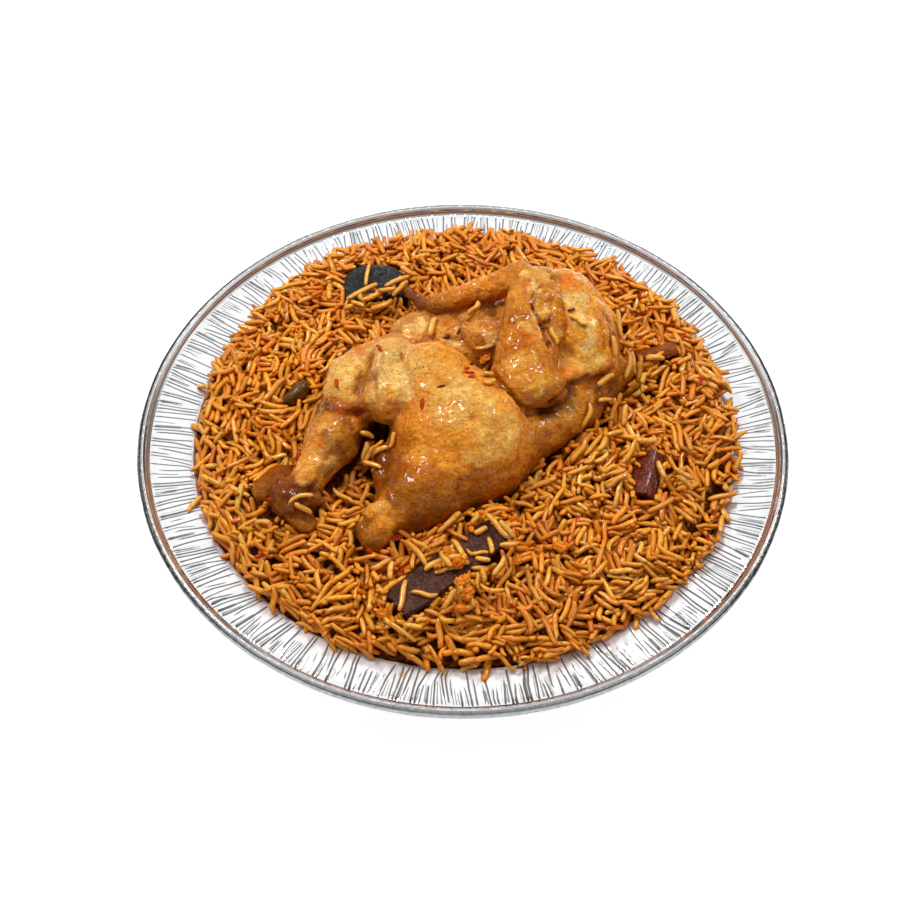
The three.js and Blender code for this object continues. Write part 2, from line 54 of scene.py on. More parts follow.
def let_go():
    if bpy.context.object and bpy.context.object.mode != "OBJECT":
        bpy.ops.object.mode_set(mode="OBJECT")
    for thing in list(bpy.context.selected_objects):
        thing.select_set(False)


def take(*things):
    let_go()
    for thing in things:
        thing.select_set(True)
    bpy.context.view_layer.objects.active = things[0]


def points_of(mesh):
    flat = np.empty(len(mesh.vertices) * 3, np.float32)
    mesh.vertices.foreach_get("co", flat)
    return flat.reshape(-1, 3).astype(float)


def set_points(mesh, points):
    mesh.vertices.foreach_set("co", points.astype(np.float32).ravel())
    mesh.update()


def pick(mesh, chosen):
    """Selects the points where chosen is true, and the edges and faces between them."""
    mesh.vertices.foreach_set("select", chosen)
    edges = np.empty(len(mesh.edges) * 2, np.int32)
    mesh.edges.foreach_get("vertices", edges)
    mesh.edges.foreach_set("select", chosen[edges.reshape(-1, 2)].all(1))
    mesh.polygons.foreach_set("select", [all(chosen[v] for v in face.vertices) for face in mesh.polygons])


let_go()
print("pieces loaded", sorted(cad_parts))

# %% [markdown]
# The picture looks down on the plate from the front at 52 degrees, through a long lens.
# The camera stands at that angle, and one metre away the plate fills the frame as it does there.

# %% Camera
CAMERA_TARGET = Vector((-0.006835, -0.010412, 0.0278))
CAMERA_DISTANCE = 1.0294
CAMERA_ELEVATION = math.radians(51.832)
CAMERA_LENS = 76.74


def add_camera():
    back = Vector((0, -math.cos(CAMERA_ELEVATION), math.sin(CAMERA_ELEVATION)))
    bpy.ops.object.camera_add(location=CAMERA_TARGET + back * CAMERA_DISTANCE)
    camera = bpy.context.object
    camera.rotation_euler = (-back).to_track_quat("-Z", "Y").to_euler()
    camera.data.lens = CAMERA_LENS
    camera.data.sensor_width = 36
    bpy.context.scene.camera = camera
    return camera


print("camera at", [round(x, 3) for x in add_camera().location])

# %% [markdown]
# Food shows its gloss by what it mirrors. Two small lamps, above and behind at the left and the
# right, draw the small white shines on the skin and the grains, and a wide weak one fills the
# front. A lamp straight behind would be mirrored by the flat rim, and whiten it all. The
# sky is white above and behind and dark low down, so that the creases of the foil mirror a dark
# line while its flat parts stay white.

# %% Lamps
LAMPS = {
    "lamp_left": ((-0.55, 0.3, 0.95), 0.27, 5.2),
    "lamp_right": ((0.6, 0.42, 0.85), 0.25, 3.5),
    "lamp_front": ((0.1, -0.95, 0.75), 1.0, 0.5),
}


def add_lamp(name, place, size, watts):
    bpy.ops.object.light_add(type="AREA", location=place)
    lamp = bpy.context.object
    lamp.name = name
    lamp.rotation_euler = (Vector((0, 0, 0.03)) - Vector(place)).to_track_quat("-Z", "Y").to_euler()
    lamp.data.shape = "DISK"
    lamp.data.size = size
    lamp.data.energy = watts
    return lamp


for name, (place, size, watts) in LAMPS.items():
    add_lamp(name, place, size, watts)
print(len(LAMPS), "lamps")

# %% [markdown]
# Each finish is a small net of shader nodes. The class Wire wraps one output of a node and turns
# Python sums into Math nodes, so a finish reads as a formula. Finish.node makes any other node.

# %% The wires and finishes
class Wire:
    def __init__(self, finish, socket):
        self.finish = finish
        self.socket = socket

    def _maths(self, operation, *values):
        return self.finish.node("ShaderNodeMath", {"operation": operation}, dict(enumerate(values)))

    def __add__(self, other):
        return self._maths("ADD", self, other)

    def __sub__(self, other):
        return self._maths("SUBTRACT", self, other)

    def __rsub__(self, other):
        return self._maths("SUBTRACT", other, self)

    def __mul__(self, other):
        return self._maths("MULTIPLY", self, other)

    def above(self, low, high):
        """0 below low, 1 above high, and smooth between."""
        return self.finish.node("ShaderNodeMapRange", {"interpolation_type": "SMOOTHSTEP"},
                                {"Value": self, "From Min": low, "From Max": high})

    __radd__ = __add__
    __rmul__ = __mul__


class Finish:
    def __init__(self, name):
        self.material = bpy.data.materials.new(name)
        self.material.use_nodes = True
        self.tree = self.material.node_tree
        self.tree.nodes.clear()

    def node(self, kind, settings=None, sockets=None, output=0):
        made = self.tree.nodes.new(kind)
        for name, value in (settings or {}).items():
            setattr(made, name, value)
        for name, value in (sockets or {}).items():
            if isinstance(value, Wire):
                self.tree.links.new(value.socket, made.inputs[name])
            else:
                made.inputs[name].default_value = value
        return Wire(self, made.outputs[output]) if len(made.outputs) else None

    def place(self):
        """The point on the piece, in metres, in its own coordinates."""
        return self.node("ShaderNodeTexCoord", output="Object")

    def moved(self, place, **sockets):
        """The point scaled, turned and shifted, in that order."""
        return self.node("ShaderNodeMapping", {}, {"Vector": place, **sockets})

    def along(self, place, axis):
        """One coordinate of a point: X, Y or Z."""
        return self.node("ShaderNodeSeparateXYZ", {}, {0: place}, axis)

    def away(self, place, middle):
        """Distance in millimetres between two points given in metres."""
        metres = self.node("ShaderNodeVectorMath", {"operation": "DISTANCE"}, {0: place, 1: middle}, "Value")
        return metres * 1000

    def clouds(self, size, place=None, detail=3.0, rough=0.55, shift=0.0):
        """Cloudy noise from 0 to 1, with patches about size millimetres wide."""
        spot = self.moved(place or self.place(), Location=(shift,) * 3)
        return self.node("ShaderNodeTexNoise", {}, {"Vector": spot, "Scale": 1000.0 / size,
                                                    "Detail": detail, "Roughness": rough})

    def cells(self, size, place=None):
        """Distance to the middle of the nearest cell, with cells about size millimetres wide."""
        return self.node("ShaderNodeTexVoronoi", {},
                         {"Vector": place or self.place(), "Scale": 1000.0 / size}, "Distance")

    def attribute(self, name, output="Color"):
        return self.node("ShaderNodeAttribute", {"attribute_name": name}, {}, output)

    def mixed(self, share, one, other, mode="MIX"):
        """One colour where share is 0, the other where it is 1."""
        colours = [c if isinstance(c, Wire) else (*c, 1) for c in (one, other)]
        return self.node("ShaderNodeMix", {"data_type": "RGBA", "blend_type": mode},
                         {0: share, 6: colours[0], 7: colours[1]}, 2)

    def tinted(self, colour, by):
        """The colour, with each of its three parts multiplied by a number."""
        return self.mixed(1.0, colour, by, "MULTIPLY")

    def bump(self, height, depth, below=None):
        """Raises the surface by depth millimetres where height is 1."""
        sockets = {"Height": height, "Distance": depth * MM, "Strength": 1.0}
        if below:
            sockets["Normal"] = below
        return self.node("ShaderNodeBump", {}, sockets)

    def done(self, **sockets):
        """The surface itself, with its sockets named by their words joined with _."""
        wanted = {name.replace("_", " "): value for name, value in sockets.items()}
        for name in ("Base Color", "Emission Color", "Specular Tint"):
            if isinstance(wanted.get(name), tuple):
                wanted[name] = (*wanted[name], 1)
        surface = self.node("ShaderNodeBsdfPrincipled", {}, wanted)
        self.node("ShaderNodeOutputMaterial", {}, {"Surface": surface})
        return self.material


def tone(red, green, blue):
    """The shader's own colour for one read off a screen, from 0 to 255."""
    shares = [c / 255 for c in (red, green, blue)]
    return tuple(((c + 0.055) / 1.055) ** 2.4 if c > 10 / 255 else c / 12.92 for c in shares)


print("a finish of", tone(200, 150, 100))

# %% [markdown]
# The floor is a plain pale sheet, much wider than the picture, and the sky lights all of it.

# %% Sky and floor
SKY_LOW = 0.03
SKY_FRONT = 0.33
SKY_BACK = 1.2


def add_sky():
    """A sky that is dark low down, grey in front, and white above and behind."""
    world = bpy.data.worlds.new("sky")
    bpy.context.scene.world = world
    world.use_nodes = True
    nodes, links = world.node_tree.nodes, world.node_tree.links
    nodes.clear()
    spot = nodes.new("ShaderNodeTexCoord")
    light = nodes.new("ShaderNodeBackground")
    end = nodes.new("ShaderNodeOutputWorld")

    def rise(direction, start, stop, low, high):
        along = nodes.new("ShaderNodeVectorMath")
        along.operation = "DOT_PRODUCT"
        along.inputs[1].default_value = direction
        ramp = nodes.new("ShaderNodeMapRange")
        ramp.interpolation_type = "SMOOTHSTEP"
        for name, value in (("From Min", start), ("From Max", stop), ("To Min", low), ("To Max", high)):
            if isinstance(value, (int, float)):
                ramp.inputs[name].default_value = value
            else:
                links.new(value, ramp.inputs[name])
        links.new(spot.outputs["Generated"], along.inputs[0])
        links.new(along.outputs["Value"], ramp.inputs["Value"])
        return ramp.outputs[0]

    low = rise((0, -1, 0), 0.0, 0.5, SKY_LOW, SKY_FRONT)
    upper = rise((0, 1, 1), 0.15, 0.9, low, SKY_BACK)
    links.new(rise((0, 0, 1), 0.26, 0.58, low, upper), light.inputs["Strength"])
    links.new(light.outputs[0], end.inputs[0])


def add_floor():
    bpy.ops.mesh.primitive_circle_add(vertices=96, radius=3.2, fill_type="NGON", location=(0, 0, -0.0004))
    floor = bpy.context.object
    floor.name = "floor"
    pale = Finish("pale_floor")
    floor.data.materials.append(pale.done(Base_Color=(0.9, 0.9, 0.9), Roughness=0.8, Specular_IOR_Level=0.2,
                                          Emission_Color=(1.0, 1.0, 1.0), Emission_Strength=0.5))
    return floor


add_sky()
bpy.context.scene.view_settings.view_transform = "Standard"
print("floor", add_floor().name)

# %% [markdown]
# The platter is thin foil pressed in a mould: a flat base, a slanted wall, a wide flange, a small
# step and a rim rolled over into a bead. A press makes it from a flat disc, so the flange is full
# of radial creases. Its section could be spun, but a ring of edges that is extruded and widened
# step by step gives the same form with all the points that the creases need.

# %% The section of the platter
PLATTER_SIDES = 1440
BASE_RADIUS = 121
FLANGE_RADIUS = 145
FLANGE_HEIGHT = 23.2
STEP_FOOT = (168.3, 26.62)
BEAD = (172.6, 27.8)
BEAD_RADIUS = 2.4
BEAD_DROP = 3.6
FOIL = 0.8
FOIL_SHOWN = 0.45


def flange_height(radius):
    slope = (STEP_FOOT[1] - FLANGE_HEIGHT) / (STEP_FOOT[0] - FLANGE_RADIUS)
    return FLANGE_HEIGHT + (radius - FLANGE_RADIUS) * slope


def platter_section():
    """Radius and height of each ring: out along the top side, round the bead and back below."""
    slant = FLANGE_HEIGHT - FOIL
    wall = [(BASE_RADIUS + 24 * t, FOIL + slant * t) for t in (0.03, 0.2, 0.4, 0.6, 0.8, 0.97)]
    flange_rings = (145.4, 146.6, 148, 150, 152.5, 155, 158, 161, 164, 166, 167.4)
    flange = [(r, flange_height(r)) for r in flange_rings]
    turns = [math.radians(a) for a in (170, 145, 115, 95, 75, 55, 38, 20, 0, -22, -50, -85)]
    bead = [(BEAD[0] + BEAD_RADIUS * math.cos(a),
             BEAD[1] + (BEAD_RADIUS if a > 0 else BEAD_DROP) * math.sin(a)) for a in turns]
    top = [(3, FOIL), (60, FOIL), (115, FOIL), (BASE_RADIUS - 1, FOIL)] + wall + flange + [STEP_FOOT]
    below = [(r, z - FOIL_SHOWN) for r, z in reversed(flange[1:])]
    outside = [(144.6 - 23 * t, 22.6 * (1 - t)) for t in (0, 0.35, 0.7)]
    foot = [(BASE_RADIUS - 0.6, 0.02), (60, 0.02), (3, 0.02)]
    return top + bead + [(169.4, 25.6)] + below + outside + foot


section = platter_section()
print(len(section), "rings of", PLATTER_SIDES)

# %% Extrude the platter ring by ring
def extruded_rings(name, section, sides):
    """A closed round piece. Each ring is the last one extruded, then widened and lifted."""
    let_go()
    radius, height = section[0]
    bpy.ops.mesh.primitive_circle_add(vertices=sides, radius=radius * MM, location=(0, 0, height * MM),
                                      fill_type="NGON", enter_editmode=True)
    piece = bpy.context.object
    piece.name = name
    bpy.ops.mesh.delete(type="ONLY_FACE")
    bpy.ops.mesh.select_all(action="SELECT")
    for wide, high in section[1:]:
        bpy.ops.mesh.extrude_edges_move()
        bpy.ops.transform.resize(value=(wide / radius, wide / radius, 1), center_override=(0, 0, 0))
        bpy.ops.transform.translate(value=(0, 0, (high - height) * MM))
        radius, height = wide, high
    bpy.ops.mesh.edge_face_add()
    bpy.ops.object.mode_set(mode="OBJECT")
    take(piece)
    bpy.ops.object.transform_apply(location=True, rotation=True, scale=True)
    points = points_of(piece.data)
    first = np.abs(points[:, 2] - section[0][1] * MM) < 1e-6
    pick(piece.data, first & (np.hypot(points[:, 0], points[:, 1]) < (section[0][0] + 0.01) * MM))
    bpy.ops.object.mode_set(mode="EDIT")
    bpy.ops.mesh.edge_face_add()
    bpy.ops.mesh.select_all(action="SELECT")
    bpy.ops.mesh.normals_make_consistent(inside=False)
    bpy.ops.object.mode_set(mode="OBJECT")
    return piece


platter = extruded_rings("foil_platter_creased", section, PLATTER_SIDES)
print(platter.name, len(platter.data.vertices), "points")

# %% [markdown]
# The creases are pressed folds: sharp narrow valleys that run outwards, a few millimetres apart,
# some across the whole flange and some only part of it, with flat facets between. By hand one
# would slide edges together and push each valley down. Here a rule does that: every fourth column
# of points becomes the bottom of a valley, and its neighbours close up to it as the edges.

# %% Slide the columns to the creases
CREASES = PLATTER_SIDES // 4
LEAST_GAP = 1.9


def smooth_step(low, high, x):
    share = np.clip((x - low) / (high - low), 0, 1)
    return share * share * (3 - 2 * share)


def crease_table(seed):
    """For each crease: its shift, slant, bow, half width, depth, and the radii where it starts and ends."""
    rng = np.random.default_rng(seed)
    count = np.arange(CREASES)
    angle = count / CREASES * 2 * math.pi
    front = np.clip(-np.sin(angle) * 1.6 - 0.5, 0, 1)
    shift = rng.uniform(-0.4, 0.4, CREASES)
    slant = 0.13 * np.sin(angle * 11 + 2 * np.sin(angle * 4)) + rng.normal(0, 0.09, CREASES)
    bow = rng.normal(0, 0.35, CREASES)
    wide = rng.uniform(0.4, 0.52, CREASES) + 0.2 * front
    deep = rng.uniform(0.3, 0.55, CREASES)
    whole = rng.random(CREASES) < 0.8 - 0.3 * front
    start = np.where(whole, 144.5, rng.uniform(149, 158, CREASES))
    end = np.where(rng.random(CREASES) < 0.8, 168.6, rng.uniform(162, 167, CREASES))
    deep = np.where(whole, deep, deep * 0.7)
    hatched = np.where(rng.random(CREASES) < 0.25 + 0.1 * front, rng.uniform(152, 161, CREASES), 999)
    return np.stack([shift, slant, bow, wide, deep, start, end, hatched])


def crease_columns(radius, table):
    """Where the four columns of each crease cross this radius, in millimetres round the rim."""
    shift, slant, bow, wide = table[:4]
    order = np.arange(CREASES)
    out = np.clip(radius, 146, 168.3) - 157
    gap = 2 * math.pi * radius / CREASES
    middle = (order + shift) * gap + slant * out + bow * math.cos(out / 7)
    middle = np.maximum.accumulate(middle - order * LEAST_GAP) + order * LEAST_GAP
    space = np.append(middle[1:], middle[0] + 2 * math.pi * radius) - middle - wide - np.roll(wide, -1)
    return np.stack([middle - wide, middle, middle + wide, middle + wide + space / 2], 1).ravel()


def folded_line(angle, seed, count, height):
    """Straight facets round the rim between random heights."""
    rng = np.random.default_rng(seed)
    knots = np.sort(rng.random(count)) * 2 * math.pi
    return np.interp(angle, knots, rng.uniform(-height, height, count), period=2 * math.pi)


table = crease_table(7)
print(CREASES, "creases, the closest", np.diff(crease_columns(157, table)[1::4]).min().round(2), "mm apart")

# %% Press the creases
def press_creases(points):
    radius, angle = np.hypot(points[:, 0], points[:, 1]), np.arctan2(points[:, 1], points[:, 0])
    column = np.rint(angle / (2 * math.pi) * PLATTER_SIDES).astype(int) % PLATTER_SIDES
    crease, part = column // 4, column % 4
    rounds = np.round(radius, 2)
    for ring in np.unique(rounds[radius > 100]):
        chosen = rounds == ring
        angle[chosen] = crease_columns(ring, table)[column[chosen]] / ring
    points[:, 0], points[:, 1] = radius * np.cos(angle), radius * np.sin(angle)
    _, _, _, _, deep, start, end, hatched = table[:, crease]
    fade = smooth_step(0, 3.5, radius - start) * smooth_step(0, 1.6, end - radius)
    drop = np.choose(part, [0.1, -1, 0.1, 0.35]) * deep * fade
    facets = folded_line(angle, 31, 260, 0.13) + folded_line(angle, 32, 110, 0.12)
    on_flange = (radius > 145.9) & (radius < 169.2) & (points[:, 2] > 22)
    facets = facets * smooth_step(147, 157, radius) * smooth_step(0, 2, 169.2 - radius)
    points[on_flange, 2] += (drop + facets)[on_flange]
    # The line and hatch marks go to the finish, which paints the crease bottoms and the hatching grey, as
    # shade.
    line = (part == 1) * fade * np.clip(deep * 2.2, 0, 1)
    hatch = smooth_step(0, 3, radius - hatched) * smooth_step(0, 1.5, 167.8 - radius)
    marks = (crease_columns(157, table)[column], line * on_flange, hatch * on_flange)
    return radius, angle, np.stack(marks, 1)


points = points_of(platter.data) / MM
radius, angle, fold_marks = press_creases(points)
on_rim = radius > 169.6
dents = folded_line(angle[on_rim], 33, 210, 0.1) + folded_line(angle[on_rim], 34, 60, 0.12)
points[on_rim, :2] *= 1 + (dents * np.clip((radius[on_rim] - 170) / 4, 0, 1) / radius[on_rim])[:, None]
on_wall = (radius > 123) & (radius < 144.5)
points[on_wall, :2] *= 1 + (folded_line(angle[on_wall], 35, 260, 0.35) / radius[on_wall])[:, None]
set_points(platter.data, points * MM)
marks = platter.data.attributes.new("fold_marks", "FLOAT_VECTOR", "POINT")
marks.data.foreach_set("vector", fold_marks.astype(np.float32).ravel())
print("flange between", points[radius > 146, 2].min().round(2), "and", points[:, 2].max().round(2))

# %% [markdown]
# Foil is bare aluminium, bright where it is smooth. Its creases, which the marks on the mesh tell
# apart, are painted grey, as the shade that lies in them, and so is the fine hatching. The step is
# painted brown, as the reflection of the rice in it, greyer in front, and the outer side of the
# rolled bead is painted dark, as shade. Oil from the rice has left small amber drops on the
# flange, so the finish tints a few spots.

# %% Foil finish
OIL_DROPS = ((-77.5, 132.9, 2.4), (-74, 134, 1.8), (-133.4, 66.9, 2.2), (-145.3, 74.4, 1.5),
             (60, -136, 2.6), (72, -131, 2.2), (53, -139, 1.5), (38, -143.5, 1.4), (-143, -48, 2.0),
             (-30, -148.5, 3.0), (118, -92, 1.6), (149, 20, 1.5), (-120, -90, 1.5))


def foil_finish():
    foil = Finish("creased_foil")
    soft = foil.clouds(14, shift=5)
    spot = foil.place()
    flat = foil.node("ShaderNodeVectorMath", {"operation": "MULTIPLY"}, {0: spot, 1: (1, 1, 0)})
    radius = foil.node("ShaderNodeVectorMath", {"operation": "LENGTH"}, {0: flat}, "Value") * 1000
    across, ahead, high = (foil.along(spot, axis) * 1000 for axis in "XYZ")
    near = (ahead * -1).above(20, 130)
    side = (across * across).above(90 * 90, 150 * 150)
    step = (radius - near).above(168.9, 169.2) * (1 - radius.above(170.0, 170.4)) * high.above(25.8, 26.1)
    step_and_drop_noise = foil.clouds(2.2, detail=4)
    # Painted reflection: the step is browned where the rice would be mirrored in it.
    brown = step * step_and_drop_noise.above(0.1, 0.3)
    oil = 0
    for x, y, size in OIL_DROPS:
        middle = (x * MM, y * MM, flange_height(math.hypot(x, y)) * MM)
        away = foil.away(spot, middle) + (step_and_drop_noise - 0.5) * 3
        oil = (1 - away.above(size * 0.35, size)) + oil
    specks = (1 - foil.cells(5.5).above(0.03, 0.075)) * foil.clouds(21, shift=3).above(0.56, 0.62)
    near_rice = (1 - radius.above(146.4, 147.4)) * foil.clouds(7, shift=9).above(0.42, 0.5)
    flange = (1 - radius.above(163, 167)) * high.above(22, 23)
    # The step's painted reflection is brown at the back and sides and greyer in front.
    step_reflection = foil.mixed(near, tone(104, 68, 32), tone(92, 84, 76))
    tint = foil.mixed(brown * 0.95, (0.95, 0.955, 0.96), step_reflection)
    folds = foil.attribute("fold_marks", "Vector")
    around, marks, hatched = (foil.along(folds, axis) for axis in "XYZ")
    waves = foil.node("ShaderNodeMath", {"operation": "SINE"}, {0: around * 4.6 + soft * 2})
    # Painted shade: the crease bottoms and the fine hatching are painted grey.
    lines = marks.above(0.06, 0.45) * 0.92 + waves.above(0.0, 0.7) * hatched.above(0.1, 0.45) * 0.8
    tint = foil.mixed(lines, tint, foil.mixed(near, (0.3, 0.33, 0.35), (0.17, 0.17, 0.165)))
    rolled = radius.above(172.4, 172.8) * high.above(24.8, 25.8)
    shade = foil.mixed(side, (0.3, 0.31, 0.315), (0.045, 0.045, 0.05))
    tint = foil.mixed(rolled * (0.55 + foil.clouds(2.5, detail=3, shift=7) * 0.7), tint, shade)
    seam = radius.above(171.9, 172.1) * (1 - radius.above(172.3, 172.5)) * high.above(28, 28.5)
    tint = foil.mixed(seam * foil.clouds(3, shift=11).above(0.4, 0.5) * 0.8, tint, tone(120, 88, 60))
    tint = foil.mixed((oil * 0.5 + specks * 0.3 + near_rice * 0.4).above(0, 1), tint, tone(206, 138, 44))
    rough = 0.1 + soft * 0.08 + brown * 0.3
    normal = foil.bump(waves * hatched, 0.06, foil.bump(soft, 0.2))
    metal = 1 - brown * 0.85 - flange * (0.35 + near * 0.35)
    return foil.done(Base_Color=tint, Metallic=metal, Roughness=rough, Normal=normal)


def dress(piece, material, angle=None):
    """Gives a piece its one finish, its smoothness and its place in the table."""
    piece.data.materials.clear()
    piece.data.materials.append(material)
    take(piece)
    if angle is None:
        bpy.ops.object.shade_smooth()
    else:
        bpy.ops.object.shade_smooth_by_angle(angle=math.radians(angle))
    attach(piece, "root")
    print(piece.name, len(piece.data.vertices), "points")


dress(platter, foil_finish(), 16)
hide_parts("foil_platter")

# %% [markdown]
# The chicken is half a bird, lying on its cut side. Under the skin each muscle is a tapered
# round form, and the skin melts from one to the next. The table gives each muscle its two ends,
# the radii there, how tall its section is and how widely it melts into the rest. The last rows
# are small flaps and lumps of skin, which only the shown piece has. The leg, the tail and the
# wing are each melted together first and then meet the body in a sharp fold.

# %% The muscles
MUSCLES = {
    "haunch": ((-8, -20, 50), (2, -24, 51), 30.5, 31, 0.98, 14),
    "thigh": ((-17, 6, 60), (8, -18, 57), 24, 24, 1, 10),
    "flank": ((-23, -53, 44), (15, -34, 45), 17.5, 16.5, 1, 12),
    "side": ((-31, -35, 45), (-27, -52, 44), 13.5, 15, 1, 7),
    "rump": ((-31, -62, 46), (-17, -55, 47), 13.5, 16.5, 1, 10),
    "tail": ((-38, -69, 46), (-45, -79, 43), 9, 7, 1, 3),
    "knee_left": ((-60, 11, 62), (-61, 0, 61), 12, 12.5, 1, 3),
    "knee_right": ((-37, 14, 69), (-39, -6, 66), 14.5, 13.5, 1, 2.5),
    "knee_back": ((-38, 29, 56), (-54, 21, 54), 14, 14, 1, 5),
    "drumstick_top": ((-59, -2, 56), (-68, -24, 54), 15, 12.5, 1, 4),
    "drumstick_end": ((-68, -24, 54), (-80, -45, 48), 12.5, 8.5, 1, 6),
    "knuckle": ((-83, -52, 46), (-90, -56, 43), 9.5, 9, 1, 4),
    "back": ((26, -22, 46), (62, 4, 46), 15, 11.5, 1, 8),
    "neck": ((62, 10, 46), (84, 30, 44), 12, 8.5, 1, 7),
    "trunk": ((-22, 50, 44), (21, 48, 46), 19, 24, 1, 8),
    "belly": ((-7, 54, 48), (15, 56, 50), 12, 14, 1, 4),
    "belly_flap": ((-32, 54, 48), (-23, 55, 50), 8, 8, 1, 3),
    "breast": ((51, 51, 56), (59, 38, 58), 29, 25, 1, 8),
    "breast_top": ((54, 64, 64), (63, 45, 62), 17, 17, 1, 8),
    "upper_arm": ((45, 8, 58), (71, 25, 56), 12, 12.5, 1, 4),
    "forearm": ((31, 4, 69), (39, 47, 80), 17, 16, 0.74, 2.5),
    "elbow": ((28, -2, 69), (45, 1, 65), 11.5, 10, 1, 3),
    "wrist": ((36, 62, 80), (43, 61, 79), 10.5, 11, 0.9, 4),
    "hand": ((30, 66, 80), (-13, 60, 66), 8, 5.4, 1, 2.5),
    "claw_root": ((-8, 60, 66.5), (-15, 60.5, 64), 4.4, 4.0, 1, 2),
    "claw": ((-15, 60.5, 64), (-22, 65, 60.5), 4.0, 3.0, 1, 1.5),
    "claw_end": ((-22, 65, 60.5), (-28, 75.5, 57), 2.6, 2.0, 1, 1.5),
    "claw_tip": ((-28, 75.5, 57), (-33, 84, 53.5), 2.0, 1.4, 1, 1),
    "ankle_flap": ((-103, -47, 41), (-95, -39, 43), 6.5, 7, 0.42, 2),
    "knuckle_end": ((-94, -50, 48), (-91, -57, 48.5), 5, 4.6, 1, 1.5),
    "knuckle_ball": ((-84, -58.5, 49), (-88.5, -61, 46), 5.2, 4.5, 1, 1.5),
    "knuckle_point": ((-82, -57, 47), (-72, -59.5, 48), 6, 1.6, 1, 2),
    "low_flap": ((-86, -62, 41), (-80, -68, 40), 7, 5.5, 0.6, 2),
    "tail_lump": ((-46, -70, 50), (-35, -66, 53), 5, 5.5, 1, 1.5),
    "tail_corner": ((-50, -75, 44), (-46, -83, 40), 5, 4, 1, 2),
    "edge_lump": ((-41, -33, 52), (-40, -38, 52), 5, 5, 1, 3),
    "low_lump": ((-42, -45, 50), (-40, -52, 49), 5, 4.5, 1, 2),
}
LEG = ("knee_left", "knee_right", "knee_back", "drumstick_top", "drumstick_end", "knuckle", "ankle_flap",
       "knuckle_end", "knuckle_ball", "knuckle_point", "low_flap")
TAIL = ("tail", "tail_lump", "tail_corner")
WING = ("forearm", "elbow", "wrist", "hand", "claw_root", "claw", "claw_end", "claw_tip")
BODY = tuple(name for name in MUSCLES if name not in LEG + TAIL + WING)


def muscle_distance(points, muscle):
    """Distance from each point to one muscle, in millimetres, and negative inside it."""
    start, end, start_radius, end_radius, tall, _ = muscle
    squeeze = np.array([1, 1, 1 / tall])
    start, end = np.array(start) * squeeze, np.array(end) * squeeze
    along = end - start
    length2 = along @ along
    taper = start_radius - end_radius
    slant2 = length2 - taper * taper
    off = points * squeeze - start
    reach = off @ along
    past = reach - length2
    across2 = ((off * length2 - np.outer(reach, along)) ** 2).sum(1)
    turn = math.copysign(1, taper) * taper * taper * across2 if taper else 0 * across2
    side = (np.sqrt(across2 * slant2 / length2) + reach * taper) / length2 - start_radius
    near_end = np.sign(past) * slant2 * past * past * length2 > turn
    near_start = np.sign(reach) * slant2 * reach * reach * length2 < turn
    side = np.where(near_start, np.sqrt(across2 + reach * reach * length2) / length2 - start_radius, side)
    side = np.where(near_end, np.sqrt(across2 + past * past * length2) / length2 - end_radius, side)
    return side * min(1, tall)


def melted(one, other, melt):
    """The nearer of two distances, rounded where they are alike."""
    if one is None:
        return other
    share = np.clip(melt - np.abs(one - other), 0, None) / melt
    return np.minimum(one, other) - share * share * melt * 0.25


def skin_distance(points):
    whole = None
    for names, melt in ((BODY, 1), (LEG, 2.4), (TAIL, 2), (WING, 0.8)):
        part = None
        for name in names:
            part = melted(part, muscle_distance(points, MUSCLES[name]), MUSCLES[name][5])
        whole = melted(whole, part, melt)
    return whole


def skin_normal(points, step=0.3):
    normal = np.stack([skin_distance(points + offset) - skin_distance(points - offset)
                       for offset in np.eye(3) * step], 1)
    return normal / np.maximum(np.linalg.norm(normal, axis=1, keepdims=True), 1e-9)


def onto_skin(points, rounds=4):
    for _ in range(rounds):
        points = points - skin_normal(points) * np.clip(skin_distance(points), -3, 3)[:, None]
    return points


print(len(MUSCLES), "muscles, thigh skin at", onto_skin(np.array([[0.0, -10, 90]])).round(1)[0])

# %% [markdown]
# By hand, each muscle would be two balls and the hull round them. That is what is done here: the
# hulls are joined and remeshed into one skin of even little squares, and then each point moves
# onto the melted form. Sculpting would give the same, but not twice alike.

# %% Wrap the muscles in one skin
def muscle_hull(name, muscle):
    start, end, start_radius, end_radius, tall, _ = muscle
    let_go()
    balls = []
    for place, radius in ((start, start_radius), (end, end_radius)):
        bpy.ops.mesh.primitive_uv_sphere_add(segments=32, ring_count=20, radius=radius * MM,
                                             location=np.array(place) * MM, scale=(1, 1, tall))
        balls.append(bpy.context.object)
    take(*balls)
    bpy.ops.object.join()
    bpy.ops.object.transform_apply(location=True, rotation=True, scale=True)
    bpy.ops.object.mode_set(mode="EDIT")
    bpy.ops.mesh.select_all(action="SELECT")
    bpy.ops.mesh.convex_hull()
    bpy.ops.object.mode_set(mode="OBJECT")
    bpy.context.object.name = name
    return bpy.context.object


def remesh(piece, size):
    take(piece)
    modifier = piece.modifiers.new("even_mesh", "REMESH")
    modifier.mode = "VOXEL"
    modifier.voxel_size = size * MM
    bpy.ops.object.modifier_apply(modifier="even_mesh")


SKIN_CELL = 0.92
CUT_HEIGHT = 34
take(*[muscle_hull(name, muscle) for name, muscle in MUSCLES.items()])
bpy.ops.object.join()
chicken = bpy.context.object
chicken.name = "half_chicken_roast"
for cell, rounds in ((1.6, 3), (SKIN_CELL, 2)):
    remesh(chicken, cell)
    set_points(chicken.data, onto_skin(points_of(chicken.data) / MM, rounds) * MM)
print(chicken.name, len(chicken.data.vertices), "points")

